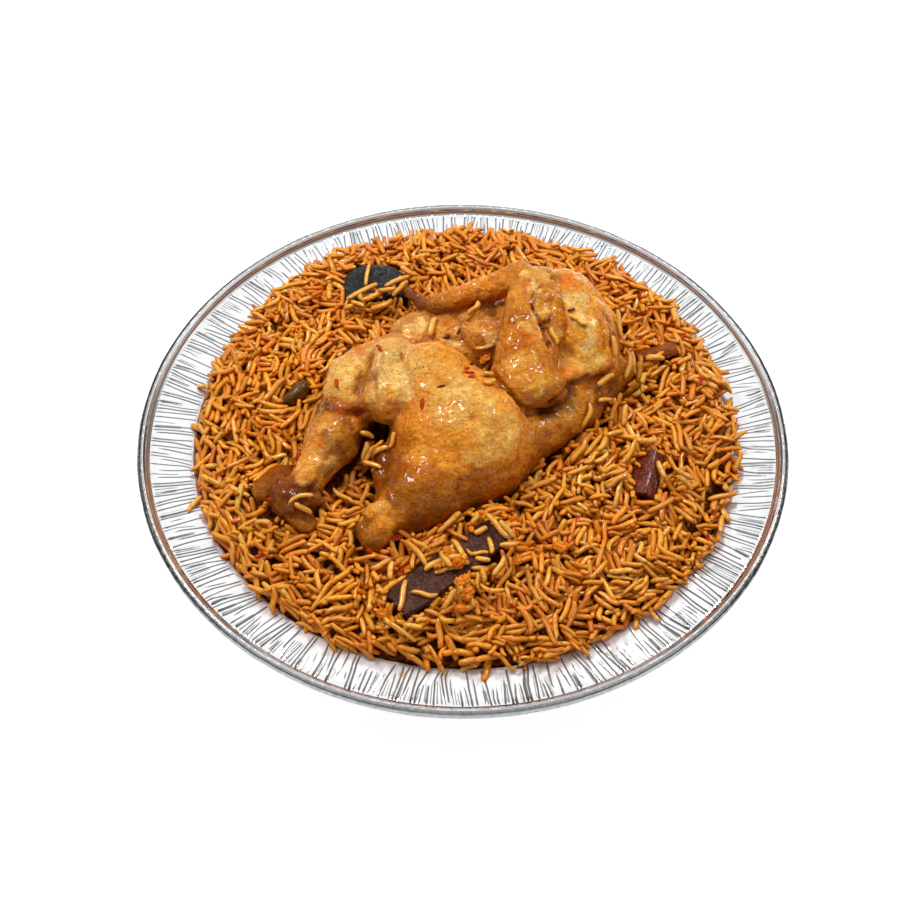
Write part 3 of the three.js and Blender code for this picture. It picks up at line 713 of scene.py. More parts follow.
# %% Cut off the side that lies in the rice
take(chicken)
bpy.ops.object.transform_apply(location=True, rotation=True, scale=True)
bpy.ops.object.mode_set(mode="EDIT")
bpy.ops.mesh.select_all(action="SELECT")
bpy.ops.mesh.bisect(plane_co=(0, 0, CUT_HEIGHT * MM), plane_no=(0, 0, 1), clear_inner=True, use_fill=True)
bpy.ops.object.mode_set(mode="OBJECT")
print("cut to", len(chicken.data.vertices), "points")

# %% [markdown]
# Roast skin lies in folds and ridges where joints bend and where it shrank or tore. Each fold is
# a short line on the skin, with a half width and a height, below zero for a crease. They could
# be sculpted; as a table of lines they come out the same each time.

# %% Folds and ridges of the skin
FOLDS = [
    (1.3, -1.7, [(48, 59, 88), (52, 53, 86), (53, 45, 85), (54, 39, 83), (54, 31, 81), (53, 25, 78)]),
    (1.5, 0.9, [(45.5, 58, 89), (49.5, 52, 87.5), (50.5, 45, 86), (51.5, 39, 84), (51.5, 31, 82)]),
    (1.2, -1.9, [(42, 51, 91), (37, 43, 91), (37, 35, 90), (41, 27, 87), (45, 30, 86)]),
    (1.2, -1.7, [(41, 27, 87), (43, 21, 85), (45, 16, 82)]),
    (1.3, -1.7, [(61, 5, 64), (56, 4, 67), (51, -5, 69), (45, -10, 67)]),
    (2.3, -2.3, [(-73, 2, 60), (-70, -13, 66), (-63, -17, 67), (-53, -15, 65), (-45, -24, 72)]),
    (2.2, 0.7, [(-71, -18, 64), (-63, -21, 66), (-54, -20, 64)]),
    (3.0, -1.6, [(-48, 15, 78), (-50, 6, 75), (-53, 3, 71), (-55, -5, 71)]),
    (1.4, -0.9, [(-42, 9, 82), (-43, 1, 80), (-46, -4, 78), (-45, -13, 76), (-43, -21, 74),
                 (-39, -28, 77)]),
    (1.3, -1.5, [(-33, 15, 81), (-29.5, 2, 82), (-27.5, -10, 82), (-28.5, -19, 82)]),
    (1.6, 0.5, [(-30, 13, 82), (-26.5, 2, 82), (-24.5, -10, 82), (-25, -20, 83)]),
    (1.8, -1.0, [(-27, -27, 82), (-30, -32, 80)]),
    (3.2, 0.9, [(-64, -22, 68), (-67, -33, 65), (-73, -43, 58)]),
    (2.4, -0.8, [(-60, -28, 67), (-63, -38, 63), (-69, -47, 56)]),
    (2.4, 1.6, [(15, 65, 84), (26, 69, 87), (36, 73, 84)]),
    (2.4, 1.2, [(42, 53, 89), (40, 45, 90), (37, 36, 88), (35, 29, 86), (30, 26, 85)]),
    (2.0, -1.6, [(45, 57, 88), (46, 43, 88), (46, 32, 85), (42, 26, 84)]),
    (2.2, 0.9, [(50, 56, 87), (53, 49, 85), (56, 41, 84), (51, 30, 81)]),
    (1.2, -1.2, [(72, 48, 79), (77, 38, 77), (79, 28, 70)]),
    (1.1, 0.9, [(70, 49, 80), (75.5, 38, 78), (77.5, 27, 71)]),
    (1.2, -1.1, [(68, 50, 81), (73, 36, 79), (75, 24, 71)]),
    (1.1, -1.0, [(75, 46, 77), (80, 37, 74), (82, 28, 66)]),
    (2.6, -1.3, [(57, 5, 65), (67, 9, 63), (76, 14, 61), (80, 19, 63)]),
    (3.0, 1.2, [(56, 8, 68), (67, 12, 67), (76, 18, 66)]),
    (3.0, -1.2, [(51, 22, 76), (57, 19, 74)]),
    (1.7, -1.6, [(15, 5, 75), (20, -6, 77), (25, -12, 75), (30, -16, 69)]),
    (1.8, -1.8, [(33, -16, 65), (42, -9, 60), (49, -8, 61), (55, 0, 61), (58, 5, 64), (65, 10, 65)]),
    (5.0, 0.8, [(-12, -48, 69), (-5, -50, 69), (10, -50, 67), (22, -45, 67), (29, -38, 69)]),
    (4.0, -0.5, [(-8, -57, 62), (8, -57, 60), (22, -51, 60), (31, -43, 62)]),
    (1.3, 1.0, [(-18, -20, 83), (-12, -20, 84), (-6, -20, 84)]),
    (1.3, 1.0, [(-17, -24, 83), (-11, -23, 84), (-5, -23, 84)]),
    (1.3, 1.0, [(-20, -28, 83), (-14, -27, 83), (-8, -26, 83)]),
    (3.0, -1.3, [(4, -32, 82), (5, -32, 82)]),
    (3.2, -1.4, [(-13, -9, 84), (-8, -10, 84)]),
    (2.0, 0.9, [(-43, -74, 59), (-39, -71, 60), (-34, -70, 61)]),
    (2.0, -1.2, [(-33, -71, 60), (-31, -77, 56), (-34, -80, 48)]),
    (3.0, 0.9, [(-36, -39, 73), (-39, -43, 67), (-40, -49, 61), (-40, -60, 60)]),
    (2.0, -1.2, [(-8, 39, 63), (0, 36, 63), (6, 32, 60), (9, 28, 56)]),
    (1.8, -0.9, [(-4, 52, 66), (0, 44, 66), (0, 38, 64)]),
    (2.4, -1.0, [(34, -36, 65), (42, -25, 58), (51, -17, 55)]),
    (2.4, 0.9, [(36, -40, 62), (44, -30, 56), (52, -22, 52)]),
    (2.2, -0.9, [(51, -6, 60), (61, -4, 60), (73, 5, 58)]),
    (2.0, -1.4, [(-73, -50, 55), (-77, -56, 53), (-84, -56, 54)]),
    (1.8, 1.3, [(-70, -50, 52), (-75, -58, 50), (-83, -61, 53)]),
]


def line_distance(points, line):
    """Distance from each point to a line of short straight runs."""
    nearest = np.full(len(points), 1e9)
    line = np.array(line, float)
    for start, end in zip(line[:-1], line[1:]):
        along = end - start
        share = np.clip((points - start) @ along / (along @ along), 0, 1)
        nearest = np.minimum(nearest, np.linalg.norm(points - start - share[:, None] * along, axis=1))
    return nearest


def fold_height(points):
    height = np.zeros(len(points))
    for width, lift, line in FOLDS:
        share = np.clip(1 - line_distance(points, line) / (1.6 * width), 0, 1)
        height += lift * share * share * (3 - 2 * share)
    return height


skin = points_of(chicken.data) / MM
open_skin = skin[:, 2] > CUT_HEIGHT + 0.2
normals = skin_normal(skin)
print("deepest fold", fold_height(skin).min().round(2))

# %% [markdown]
# Between the folds the skin is never smooth: it waves over the meat, is finely wrinkled where
# it is thin, and has the small bumps of the plucked feathers. Noise gives each of them, with
# more bumps on the wing and the trunk than on the taut thigh.

# %% Waves, wrinkles and bumps
BUMPY = {"haunch": 0.35, "thigh": 0.4, "flank": 0.5, "rump": 0.6, "hand": 1.6, "trunk": 1.3, "belly": 1.2,
         "breast": 0.8, "breast_top": 0.9, "forearm": 1.0, "wrist": 1.0, "tail": 1.2, "knuckle": 2.0,
         "knuckle_end": 2.2, "ankle_flap": 2.2, "low_flap": 2, "knuckle_ball": 2.2, "tail_lump": 1.6,
         "neck": 1.6, "knee_left": 0.5}


def muscle_shares(points):
    """How much of each muscle a point of the skin belongs to, as rows that add up to one."""
    distance = np.stack([muscle_distance(points, muscle) for muscle in MUSCLES.values()], 1)
    share = np.exp(-(distance - distance.min(1, keepdims=True)) / 1.6)
    return share / share.sum(1, keepdims=True)


def skin_grain(points, bumpy):
    height = np.empty(len(points))
    for index, (point, rise) in enumerate(zip(points, bumpy)):
        spot = Vector(point)
        wave = noise.noise(spot / 9) * 0.8 + noise.noise(spot / 4.2 + Vector((7, 1, 3))) * 0.5
        wrinkle = 1 - 2 * abs(noise.noise(Vector((spot.x / 2.6 + spot.y / 5, spot.y / 3.4, spot.z / 2.2))))
        bump = 0.5 - noise.voronoi(spot / 2.6)[0][0]
        height[index] = wave + 0.32 * wrinkle + rise * 0.55 * bump
    return height


shares = muscle_shares(skin)
bumpy = shares @ np.array([BUMPY.get(name, 0.8) for name in MUSCLES])
lift = np.where(open_skin, fold_height(skin) + skin_grain(skin, bumpy), 0)
set_points(chicken.data, (skin + normals * lift[:, None]) * MM)
print("skin raised by", lift.min().round(2), "to", lift.max().round(2))

# %% [markdown]
# The skin's colour is not even: the knees and the breast are pale and golden, the thigh amber,
# the wing tip and the knuckle nearly brown. Each muscle has its own tone, and the tones are mixed
# by nearness into one attribute. Where the skin faces sideways or down, the tone is painted
# deeper, as shade.

# %% Tones of the skin
TONES = {
    "haunch": (220, 134, 42), "thigh": (226, 142, 50), "flank": (166, 88, 12), "rump": (180, 98, 18),
    "tail": (206, 120, 26), "knee_left": (240, 172, 88), "knee_right": (244, 186, 108),
    "knee_back": (222, 142, 60), "drumstick_top": (134, 72, 12), "drumstick_end": (240, 160, 72),
    "knuckle": (116, 54, 12), "back": (186, 112, 36), "neck": (184, 112, 30), "trunk": (206, 132, 60),
    "belly": (226, 158, 84), "belly_flap": (250, 200, 124), "breast": (220, 140, 50),
    "breast_top": (232, 156, 66), "upper_arm": (236, 146, 40), "forearm": (204, 126, 42),
    "elbow": (196, 118, 36), "wrist": (204, 142, 70), "hand": (196, 118, 44), "ankle_flap": (150, 80, 20),
    "knuckle_end": (140, 66, 18), "knuckle_ball": (150, 76, 22), "knuckle_point": (150, 80, 30),
    "low_flap": (170, 96, 30), "claw_root": (122, 62, 16), "claw": (112, 54, 14), "claw_end": (110, 54, 18),
    "claw_tip": (140, 80, 34), "tail_lump": (226, 144, 60), "tail_corner": (140, 72, 12),
    "side": (150, 78, 10), "edge_lump": (150, 76, 14), "low_lump": (148, 74, 12),
}


def add_tones(piece, colours, wet, name="tone"):
    """The colour of each point, and in the fourth number how much of the oil film it holds."""
    layer = piece.data.attributes.new(name, "FLOAT_COLOR", "POINT")
    layer.data.foreach_set("color", np.column_stack([colours, wet]).astype(np.float32).ravel())


tones = shares @ np.array([tone(*TONES[name]) for name in MUSCLES])
# Painted shade: the tone is deeper where the skin faces sideways or down.
facing = np.clip(normals[:, 2:3], -0.2, 1)
deep = np.array(tone(196, 112, 22)) / np.array(tone(226, 148, 60))
tones = tones * (deep + (1 - deep) * np.clip(facing + 0.15, 0, 1))
print("tones", tones.min(0).round(3), tones.max(0).round(3))

# %% [markdown]
# Over those tones the skin is dabbed, as one would paint it: cream and gold where it is taut, rust
# and umber where fat and spice browned. The dabs paint light and shade as well: the white dabs and
# some cream and gold ones are painted highlights where the skin faces the light, and some umber and
# dark dabs are painted shade in the folds and under the wing. Each dab has a spot on the skin and a
# radius, and noise frays its edge.

# %% Dabs of colour
SKIN_COLOURS = {
    "cream": (252, 206, 120), "gold": (248, 190, 94), "honey": (238, 168, 70), "amber": (222, 140, 38),
    "ochre": (194, 112, 22), "rust": (202, 94, 12), "brown": (158, 80, 10), "olive": (140, 78, 10),
    "umber": (106, 50, 6), "dark": (70, 28, 6), "ash": (166, 112, 62),
    "white": (255, 224, 160)}
# Painted light and shade: the white dabs and some cream and gold ones are highlights, and some umber and
# dark dabs are shade in the folds and under the wing.
DABS = {
    "white": [(56, 49, 85, 1.6), (58, 46, 84, 2.2), (60, 43, 84, 2.2), (63, 39, 83, 2), (66, 35, 82, 1.8),
        (68, 24, 77, 2.2), (65, 20, 75, 2), (38, 30, 89, 1.6), (35, 26, 87, 1.4), (38, 54, 91, 1.6),
        (36, 48, 92, 1.6), (45, 61, 89, 1.4)],
    "cream": [(-4, -12, 83, 5), (-1, -20, 84, 3), (-38, 3, 82, 5), (-32, 7, 81, 4), (-30, -5, 78, 4),
        (-29, -11, 75, 3), (39, 49, 91, 2), (57, 48, 84, 4), (64, 50, 83, 3), (67, 25, 77, 3),
        (15, 36, 66, 3), (-3, 37, 63, 3), (-23, 47, 63, 4), (-29, 46, 61, 3)],
    "gold": [(-82, -52, 56, 2.5), (26, -30, 77, 5), (4, -20, 84, 5), (-5, -34, 80, 4), (-72, -26, 67, 3),
        (-76, -39, 60, 3), (-67, -41, 56, 3), (-65, 6, 75, 7), (-69, -2, 71, 4), (-59, 13, 76, 6),
        (-60, -6, 72, 5), (-36, -9, 79, 5), (-43, -12, 78, 4), (-24, 2, 82, 4), (0, -14, 85, 5),
        (-2, -29, 83, 4), (18, -41, 73, 6), (10, -48, 69, 4), (2, -49, 69, 3), (37, 61, 89, 4),
        (44, 59, 89, 3), (34, 26, 86, 3), (49, 26, 81, 2), (36, 6, 81, 3), (40, -7, 75, 3), (61, 40, 84, 4),
        (61, 32, 82, 3), (64, 20, 75, 4), (70, 17, 68, 5), (-31, 43, 59, 3), (-11, -12, 83, 6),
        (-1, -13, 83, 6), (9, -18, 83, 5), (1, -27, 83, 5), (12, -30, 81, 5), (-14, -22, 80, 5),
        (-41, -71, 56, 3), (24, 4, 81, 4), (30, -7, 80, 3), (62, 43, 84, 5), (66, 33, 82, 4),
        (57, 18, 73, 3), (21, -38, 73, 4), (57, -8, 57, 3)],
    "honey": [(54, -10, 57, 2.5), (61, -12, 48, 3), (-51, 10, 74, 3), (-20, 7, 84, 6), (-11, -2, 83, 6),
        (5, -25, 84, 5), (-14, -29, 79, 5), (10, -36, 80, 6), (26, -42, 68, 4), (42, 36, 88, 4),
        (31, 7, 82, 4), (35, -17, 72, 3), (53, 16, 70, 3), (68, 44, 82, 4), (69, 36, 81, 4),
        (64, 14, 68, 4), (4, 44, 67, 4), (9, 47, 68, 3), (-11, 42, 64, 3)],
    "amber": [(-74, -49, 54, 4), (-81, -49, 56, 4), (-63, -29, 66, 4), (-9, -50, 66, 5), (-24, -44, 68, 5),
        (-42, -18, 71, 4), (-4, 10, 82, 6), (4, 33, 61, 5), (-16, -19, 80, 4), (-21, -39, 71, 5),
        (-6, -39, 77, 6), (-70, -24, 68, 4), (-56, -21, 64, 4), (-39, -73, 57, 4), (-37, -76, 55, 4),
        (13, 59, 80, 4), (16, 63, 83, 4), (23, 64, 86, 3), (28, 48, 87, 4), (23, 55, 71, 4),
        (47, 39, 87, 3), (50, -16, 55, 4), (48, -22, 51, 3), (-44, -76, 53, 3), (23, 22, 81, 5),
        (42, 16, 82, 4), (27, -3, 79, 5), (36, -3, 79, 5), (43, 2, 77, 3), (58, 55, 85, 3), (72, 58, 77, 4),
        (61, 25, 79, 4), (58, 19, 74, 4), (74, 24, 72, 4), (58, -12, 53, 4), (62, -8, 53, 3),
        (35, -33, 68, 3), (-4, 45, 66, 4), (13, 41, 68, 4)],
    "ochre": [(-22, -33, 74, 6), (-28, -35, 68, 5), (-2, -52, 66, 5), (-15, -52, 68, 5), (-24, -50, 66, 4),
        (18, -51, 61, 5), (28, -46, 60, 4), (-62, -26, 67, 4), (-47, -20, 60, 4), (-78, -39, 60, 4),
        (-46, -73, 54, 4), (22, 58, 80, 4), (30, 65, 88, 4), (-4, 56, 73, 4), (5, 58, 77, 4),
        (51, 35, 82, 4), (22, 11, 79, 5), (21, 0, 77, 4), (29, -14, 77, 4), (73, 39, 79, 3),
        (72, 29, 78, 3), (75, 15, 63, 4), (61, 7, 65, 4), (42, -23, 61, 4), (56, -16, 47, 3),
        (-7, 49, 66, 3), (5, 38, 65, 3)],
    "rust": [(52, 62, 85, 2.5), (55, 59, 84, 3), (-63, -13, 69, 4), (-54, -13, 67, 4), (-67, -11, 68, 3),
        (-37, -17, 74, 4), (-74, -33, 64, 3), (35, 50, 90, 3), (35, 33, 88, 3), (45, 23, 83, 2),
        (33, 19, 84, 5), (54, 9, 69, 3), (56, 63, 83, 5)],
    "brown": [(-33, -37, 61, 5), (-59, -11, 69, 2.5), (-12, -58, 64, 5), (-47, -17, 69, 4),
        (-32, -16, 72, 4), (7, -55, 61, 6), (-31, -53, 64, 4), (-81, -47, 57, 4), (-42, -79, 52, 3),
        (25, -12, 75, 2), (30, -16, 69, 2), (-68, -16, 68, 2), (-58, -17, 67, 2), (28, 32, 85, 4),
        (69, 9, 60, 4), (85, 26, 54, 4), (11, 35, 64, 3)],
    "olive": [(-48, 0, 77, 3), (-6, -63, 63, 6), (-19, -67, 65, 6), (-11, -71, 60, 6), (5, -61, 54, 5),
        (-25, -74, 59, 5), (-35, -38, 60, 4), (-30, -65, 64, 4), (-42, -24, 60, 4), (-68, -33, 65, 4),
        (-61, -32, 63, 4), (-72, -40, 60, 4), (-94, -62, 49, 4), (-75, -58, 46, 3), (-50, -77, 49, 4),
        (-45, -85, 49, 4), (-13, 55, 68, 4), (81, 29, 67, 3)],
    "umber": [(-61, -25, 67, 4), (-71, -38, 62, 4), (-66, -31, 65, 3), (-35, -67, 59, 4), (-87, -62, 52, 3),
        (-24, -78, 52, 5), (-30, -80, 48, 4), (-40, -42, 55, 4), (-37, -55, 61, 4), (-37, -65, 62, 4),
        (-54, -26, 56, 4), (-65, -38, 59, 4), (-74, -46, 56, 4), (-77, -53, 54, 4), (-90, -59, 53, 4),
        (81, 16, 52, 4), (72, 5, 54, 4), (45, -11, 60, 4), (54, -6, 58, 4), (38, -21, 68, 3),
        (16, 51, 69, 2)],
    "dark": [(33, -16, 65, 2), (42, -9, 59, 3), (49, -8, 62, 3), (55, 0, 61, 3), (60, 6, 64, 2),
        (66, 10, 64, 2), (73, 13, 62, 2), (-89, -61, 52, 2.5), (-69, -43, 54, 3), (-82, -60, 54, 2.5),
        (45, -9, 67, 2), (41, -11, 62, 2), (42, 26, 87, 1.4), (44, 30, 87, 1.2), (36, 37, 90, 1.2),
        (55, 3, 65, 2), (59, 2, 60, 2), (17, 17, 73, 2)],
    "ash": [(18, 66, 84, 2.5), (24, 68, 86, 2.5), (42, -9, 73, 2), (36, -12, 71, 2), (77, 40, 76, 3),
        (80, 33, 72, 2.5), (80, 13, 44, 4)],
}
DAB_SHARE = 0.8
SKIN_GAIN = 1.14


def dabbed(points, tones):
    frayed = points + 3.2 * np.array([noise.noise_vector(Vector(p) / 5) for p in points])
    frayed += 1.1 * np.array([noise.noise_vector(Vector(p) / 1.8) for p in points])
    weights = np.full((len(points), 1), 0.18)
    total = tones * weights
    for name, dabs in DABS.items():
        for x, y, z, radius in dabs:
            away = np.linalg.norm(frayed - (x, y, z), axis=1, keepdims=True) / (1.7 * radius)
            weight = 1 - smooth_step(0.25, 1, away)
            total += weight * tone(*SKIN_COLOURS[name])
            weights += weight
    return tones * (1 - DAB_SHARE) + total / weights * DAB_SHARE


painted = dabbed(skin, tones)
# Painted shade: the skin is darker in the creases of its folds.
crease_shade = np.clip(-fold_height(skin) / 1.2, 0, 1)[:, None]
painted = painted * (1 - crease_shade * np.array([0.45, 0.6, 0.75]))
# Painted light and shade: the raised skin is lighter and its pits darker.
grain = np.tanh((lift - fold_height(skin)) / 0.7)[:, None]
painted = painted * (1 + grain * np.array([0.1, 0.2, 0.34]))
# Painted light: the tops of these muscles are lighter where the skin faces up.
LIT_TOPS = {"haunch": 1, "thigh": 1, "flank": 0.2, "breast": 0.9, "breast_top": 0.5, "back": 0.5,
         "drumstick_end": 1, "drumstick_top": 0.2, "hand": 0.8, "tail": 0.7, "tail_lump": 0.7,
         "upper_arm": 0.6, "side": 0.1, "neck": 0.4}
pale = shares @ np.array([LIT_TOPS.get(name, 0) for name in MUSCLES]) * smooth_step(0.3, 0.9, normals[:, 2])
painted = painted * (1 + pale[:, None] * np.array([0.4, 0.5, 0.75]))
painted = painted * SKIN_GAIN
painted = painted * np.minimum(1, 0.95 / painted.max(1, keepdims=True))
DULL = {"claw_root": 0.3, "claw": 0.3, "ankle_flap": 0.1, "low_flap": 0.3, "knuckle": 0.35, "hand": 1}
wet = shares @ np.array([DULL.get(name, 1) for name in MUSCLES])
add_tones(chicken, painted, wet * np.clip((normals[:, 2] - 0.1) / 0.5, 0, 1))
print(sum(len(dabs) for dabs in DABS.values()), "dabs")

# %% [markdown]
# The finish starts from that tone and breaks it up: browner freckles where the skin caught,
# yellow patches of oil, a few red specks of paste. A glossy coat stands for the oil film, and
# a little light goes into the skin, as it does in fat.

# %% Skin finish
def skin_finish():
    roast = Finish("roast_skin")
    base = roast.attribute("tone")
    patches = roast.clouds(13, detail=5, rough=0.62, shift=1)
    small = roast.clouds(3.6, detail=5, rough=0.7, shift=2)
    fine = roast.clouds(1.2, detail=4, rough=0.6, shift=6)
    drawn = roast.moved(roast.place(), Scale=(0.6, 1.3, 1.0), Rotation=(0, 0, math.radians(35)))
    fibres = roast.clouds(1.7, drawn, detail=4)
    richer = roast.tinted(base, (0.96, 0.78, 0.3))
    paler = roast.tinted(base, (1.25, 1.36, 1.4))
    colour = roast.mixed(patches.above(0.46, 0.6) * 0.45, base, richer)
    colour = roast.mixed((1 - patches.above(0.38, 0.48)) * 0.8, colour, paler)
    colour = roast.mixed(small.above(0.49, 0.6) * 0.8, colour, roast.tinted(colour, (0.72, 0.52, 0.22)))
    rims = small.above(0.44, 0.48) * (1 - small.above(0.49, 0.53)) * patches.above(0.4, 0.5)
    colour = roast.mixed(rims * 0.45, colour, roast.tinted(colour, (0.6, 0.38, 0.12)))
    colour = roast.mixed(fibres.above(0.58, 0.68) * 0.3, colour, paler)
    colour = roast.mixed(fine.above(0.56, 0.66) * 0.45, colour, roast.tinted(colour, (0.66, 0.46, 0.2)))
    colour = roast.mixed((1 - fine.above(0.36, 0.44)) * 0.5, colour, paler)
    pimples = 1 - roast.cells(2.8).above(0.1, 0.5)
    colour = roast.mixed(pimples * patches.above(0.42, 0.52) * 0.5, colour, paler)
    paste = roast.clouds(3.4, detail=2, shift=8).above(0.69, 0.73)
    colour = roast.mixed(paste * 0.8, colour, tone(198, 60, 10))
    pepper = (1 - roast.cells(6.5).above(0.045, 0.07)) * roast.clouds(9, shift=4).above(0.5, 0.55)
    colour = roast.mixed(pepper * 0.9, colour, tone(26, 16, 10))
    crosswise = roast.moved(roast.place(), Scale=(0.5, 1.3, 1.0), Rotation=(0, 0, math.radians(-8)))
    crepe = roast.clouds(2.0, crosswise, detail=4, rough=0.62, shift=21)
    normal = None
    for height, depth in ((pimples, 0.35), (small, 1.3), (crepe, 1.4), (fine, 0.55)):
        normal = roast.bump(height, depth, normal)
    film = roast.clouds(5, detail=3, shift=12).above(0.44, 0.54) * roast.attribute("tone", "Alpha") * 0.85
    return roast.done(Base_Color=colour, Roughness=0.4 + small * 0.2, Normal=normal,
                      Specular_IOR_Level=0.2, Specular_Tint=(1.0, 0.65, 0.2),
                      Coat_Weight=film, Coat_IOR=1.38, Coat_Roughness=0.07,
                      Subsurface_Weight=0.06, Subsurface_Radius=(1.0, 0.35, 0.1), Subsurface_Scale=0.0022)


dress(chicken, skin_finish())
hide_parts("half_chicken")

# %% [markdown]
# The heap of rice is flat-topped and falls off near the rim, more steeply in front than at the
# back, where it spills a little over the flange. These are the part's own rules for it.

# %% The form of the heap
HEAP_TOP = 41.5
HEAP_EDGE = 25
HEAP_RADIUS = 146.4
SPILL_BACK = 4.2
SPILL_RIGHT = 2
DIPS = ((-63, 83, 9, 4.5), (-62, -45, 13, 2.5), (-30, -92, 12, 1.5), (-108, -20, 10, 1.5),
        (60, -40, 12, 1.0), (118, -60, 9, 1.5))


def heap_radius(angle):
    uneven = 0.7 * np.sin(9 * angle + 1) + 0.6 * np.sin(17 * angle + 4) + 0.5 * np.sin(29 * angle)
    spill = SPILL_BACK * np.maximum(0, np.sin(angle)) ** 1.5 + SPILL_RIGHT * np.maximum(0, np.cos(angle))
    drawn_in = 3.4 * np.maximum(0, -np.cos(angle)) ** 3
    return np.maximum(HEAP_RADIUS + spill + uneven, FLANGE_RADIUS) - drawn_in


def heap_height(x, y):
    angle = np.arctan2(y, x)
    back = smooth_step(-0.3, 0.6, np.sin(angle))
    reach = np.minimum(np.hypot(x, y) / heap_radius(angle), 1)
    edge = HEAP_EDGE + 3 * back
    return edge + (HEAP_TOP - edge) * (1 - reach ** (5 + 11 * back)) ** (0.8 - 0.2 * back)


def heap_lumps(x, y):
    lumps = 0.8 * np.sin(x / 7.3 + 1.3) * np.cos(y / 8.1 + 0.4)
    lumps += 0.9 * np.sin((x + y) / 5.2 + 2) * np.sin((x - 1.4 * y) / 9.7)
    lumps += 0.8 * np.sin(x / 3.1 + np.sin(y / 6.3)) * np.sin(y / 3.7 + 1.7 * np.sin(x / 8.9))
    for at_x, at_y, wide, deep in DIPS:
        lumps -= deep * np.exp(-((x - at_x) ** 2 + (y - at_y) ** 2) / (0.6 * wide * wide))
    return lumps


print("heap at the middle", heap_height(np.float64(0), np.float64(0)).round(1))

# %% [markdown]
# Below the loose grains the rice is one dense mass that is hardly seen, painted a dark orange,
# as the shade in the gaps between the grains. It is built as the platter was, by extruding rings,
# and its top is then lowered or raised to lie a few millimetres under the heap.

# %% The bed below the grains
BED_DEPTH = 8
BED_SIDES = 180


def bed_height(x, y):
    radius = np.hypot(x, y)
    sunk = heap_height(x, y) + heap_lumps(x, y) - BED_DEPTH * (1 - smooth_step(134, 146, radius) * 0.45)
    return np.minimum(sunk, 60 - 0.25 * radius)


wall = [(118, FOIL + 0.4), (BASE_RADIUS, 1.6), (133, 12.8), (143.6, 22.9)]
cover = [(142.6 - 3.2 * k, 30) for k in range(44)]
bed = extruded_rings("rice_bed", [(30, FOIL + 0.4)] + wall + cover, BED_SIDES)
points = points_of(bed.data) / MM
on_top = points[:, 2] > 29
points[on_top, 2] = bed_height(points[on_top, 0], points[on_top, 1])
set_points(bed.data, points * MM)
print(bed.name, "top from", points[on_top, 2].min().round(1), "to", points[on_top, 2].max().round(1))

# %% [markdown]
# Grains that fall come to rest on what lies below them. To find that height quickly, the plate is
# kept as a map: a square grid of half millimetre cells, each with the height of the highest
# thing in it. It starts with the bed, the platter, the chicken and the spices.

# %% The height map
CELL = 0.5
MAP_HALF = 172
MAP_CELLS = int(2 * MAP_HALF / CELL)


def cell_of(x, y):
    return (np.clip(((np.asarray(x) + MAP_HALF) / CELL).astype(int), 0, MAP_CELLS - 1),
            np.clip(((np.asarray(y) + MAP_HALF) / CELL).astype(int), 0, MAP_CELLS - 1))


def add_tops(ground, points, widen=1):
    """Raises the map to the highest of the points in each cell and in the cells round it."""
    tops = np.full((MAP_CELLS, MAP_CELLS), -1.0)
    np.maximum.at(tops, cell_of(points[:, 0], points[:, 1]), points[:, 2])
    for axis in (0, 1):
        tops = np.maximum.reduce([np.roll(tops, shift, axis) for shift in range(-widen, widen + 1)])
    return np.maximum(ground, tops)


across = (np.arange(MAP_CELLS) + 0.5) * CELL - MAP_HALF
map_x, map_y = np.meshgrid(across, across, indexing="ij")
map_radius = np.hypot(map_x, map_y)
ground = np.where(map_radius < 143.6, bed_height(map_x, map_y), flange_height(map_radius))
wanted = heap_height(map_x, map_y) + heap_lumps(map_x, map_y)
wanted[map_radius > heap_radius(np.arctan2(map_y, map_x)) + 1.5] = -9
ground = add_tops(ground, points_of(chicken.data) / MM)
print("map of", MAP_CELLS, "by", MAP_CELLS, "cells, highest", ground.max().round(1))

# %% [markdown]
# Whole spices lie in the rice: a dried lime, a cardamom pod, three pieces of bark and a berry.
# Each is modelled lying along X at the middle of the scene, then tipped, turned and set where
# the part has it. The move is applied to the points, so the object itself stays at the origin.

# %% Set a spice in its place
def set_down(piece, at, heading=0, pitch=0):
    take(piece)
    piece.location = Vector(at) * MM
    piece.rotation_euler = (0, -math.radians(pitch), math.radians(heading))
    bpy.ops.object.transform_apply(location=True, rotation=True, scale=True)


def noise_at(points, size, shift=0.0):
    """Smooth noise from -1 to 1 for each point, with bumps about size millimetres wide."""
    return np.array([noise.noise(Vector(p) / size + Vector((shift, 0, 0))) for p in points])


def directions(points):
    return points / np.maximum(np.linalg.norm(points, axis=1, keepdims=True), 1e-9)


print("noise at the middle", noise_at(np.zeros((1, 3)) + 0.5, 1))

# %% [markdown]
# A dried lime is black, light and hard. As it dried, one side fell in and the peel drew up in
# fine wrinkles. A ball of small triangles is pressed in, drawn out and wrinkled by rule.

# %% The dried lime
LIME_AT = (-49, 96, 38)
LIME_SIZE = (20.5, 15, 14.3)
LIME_HOLLOW = (-0.0595, 0.0903, 0.049)


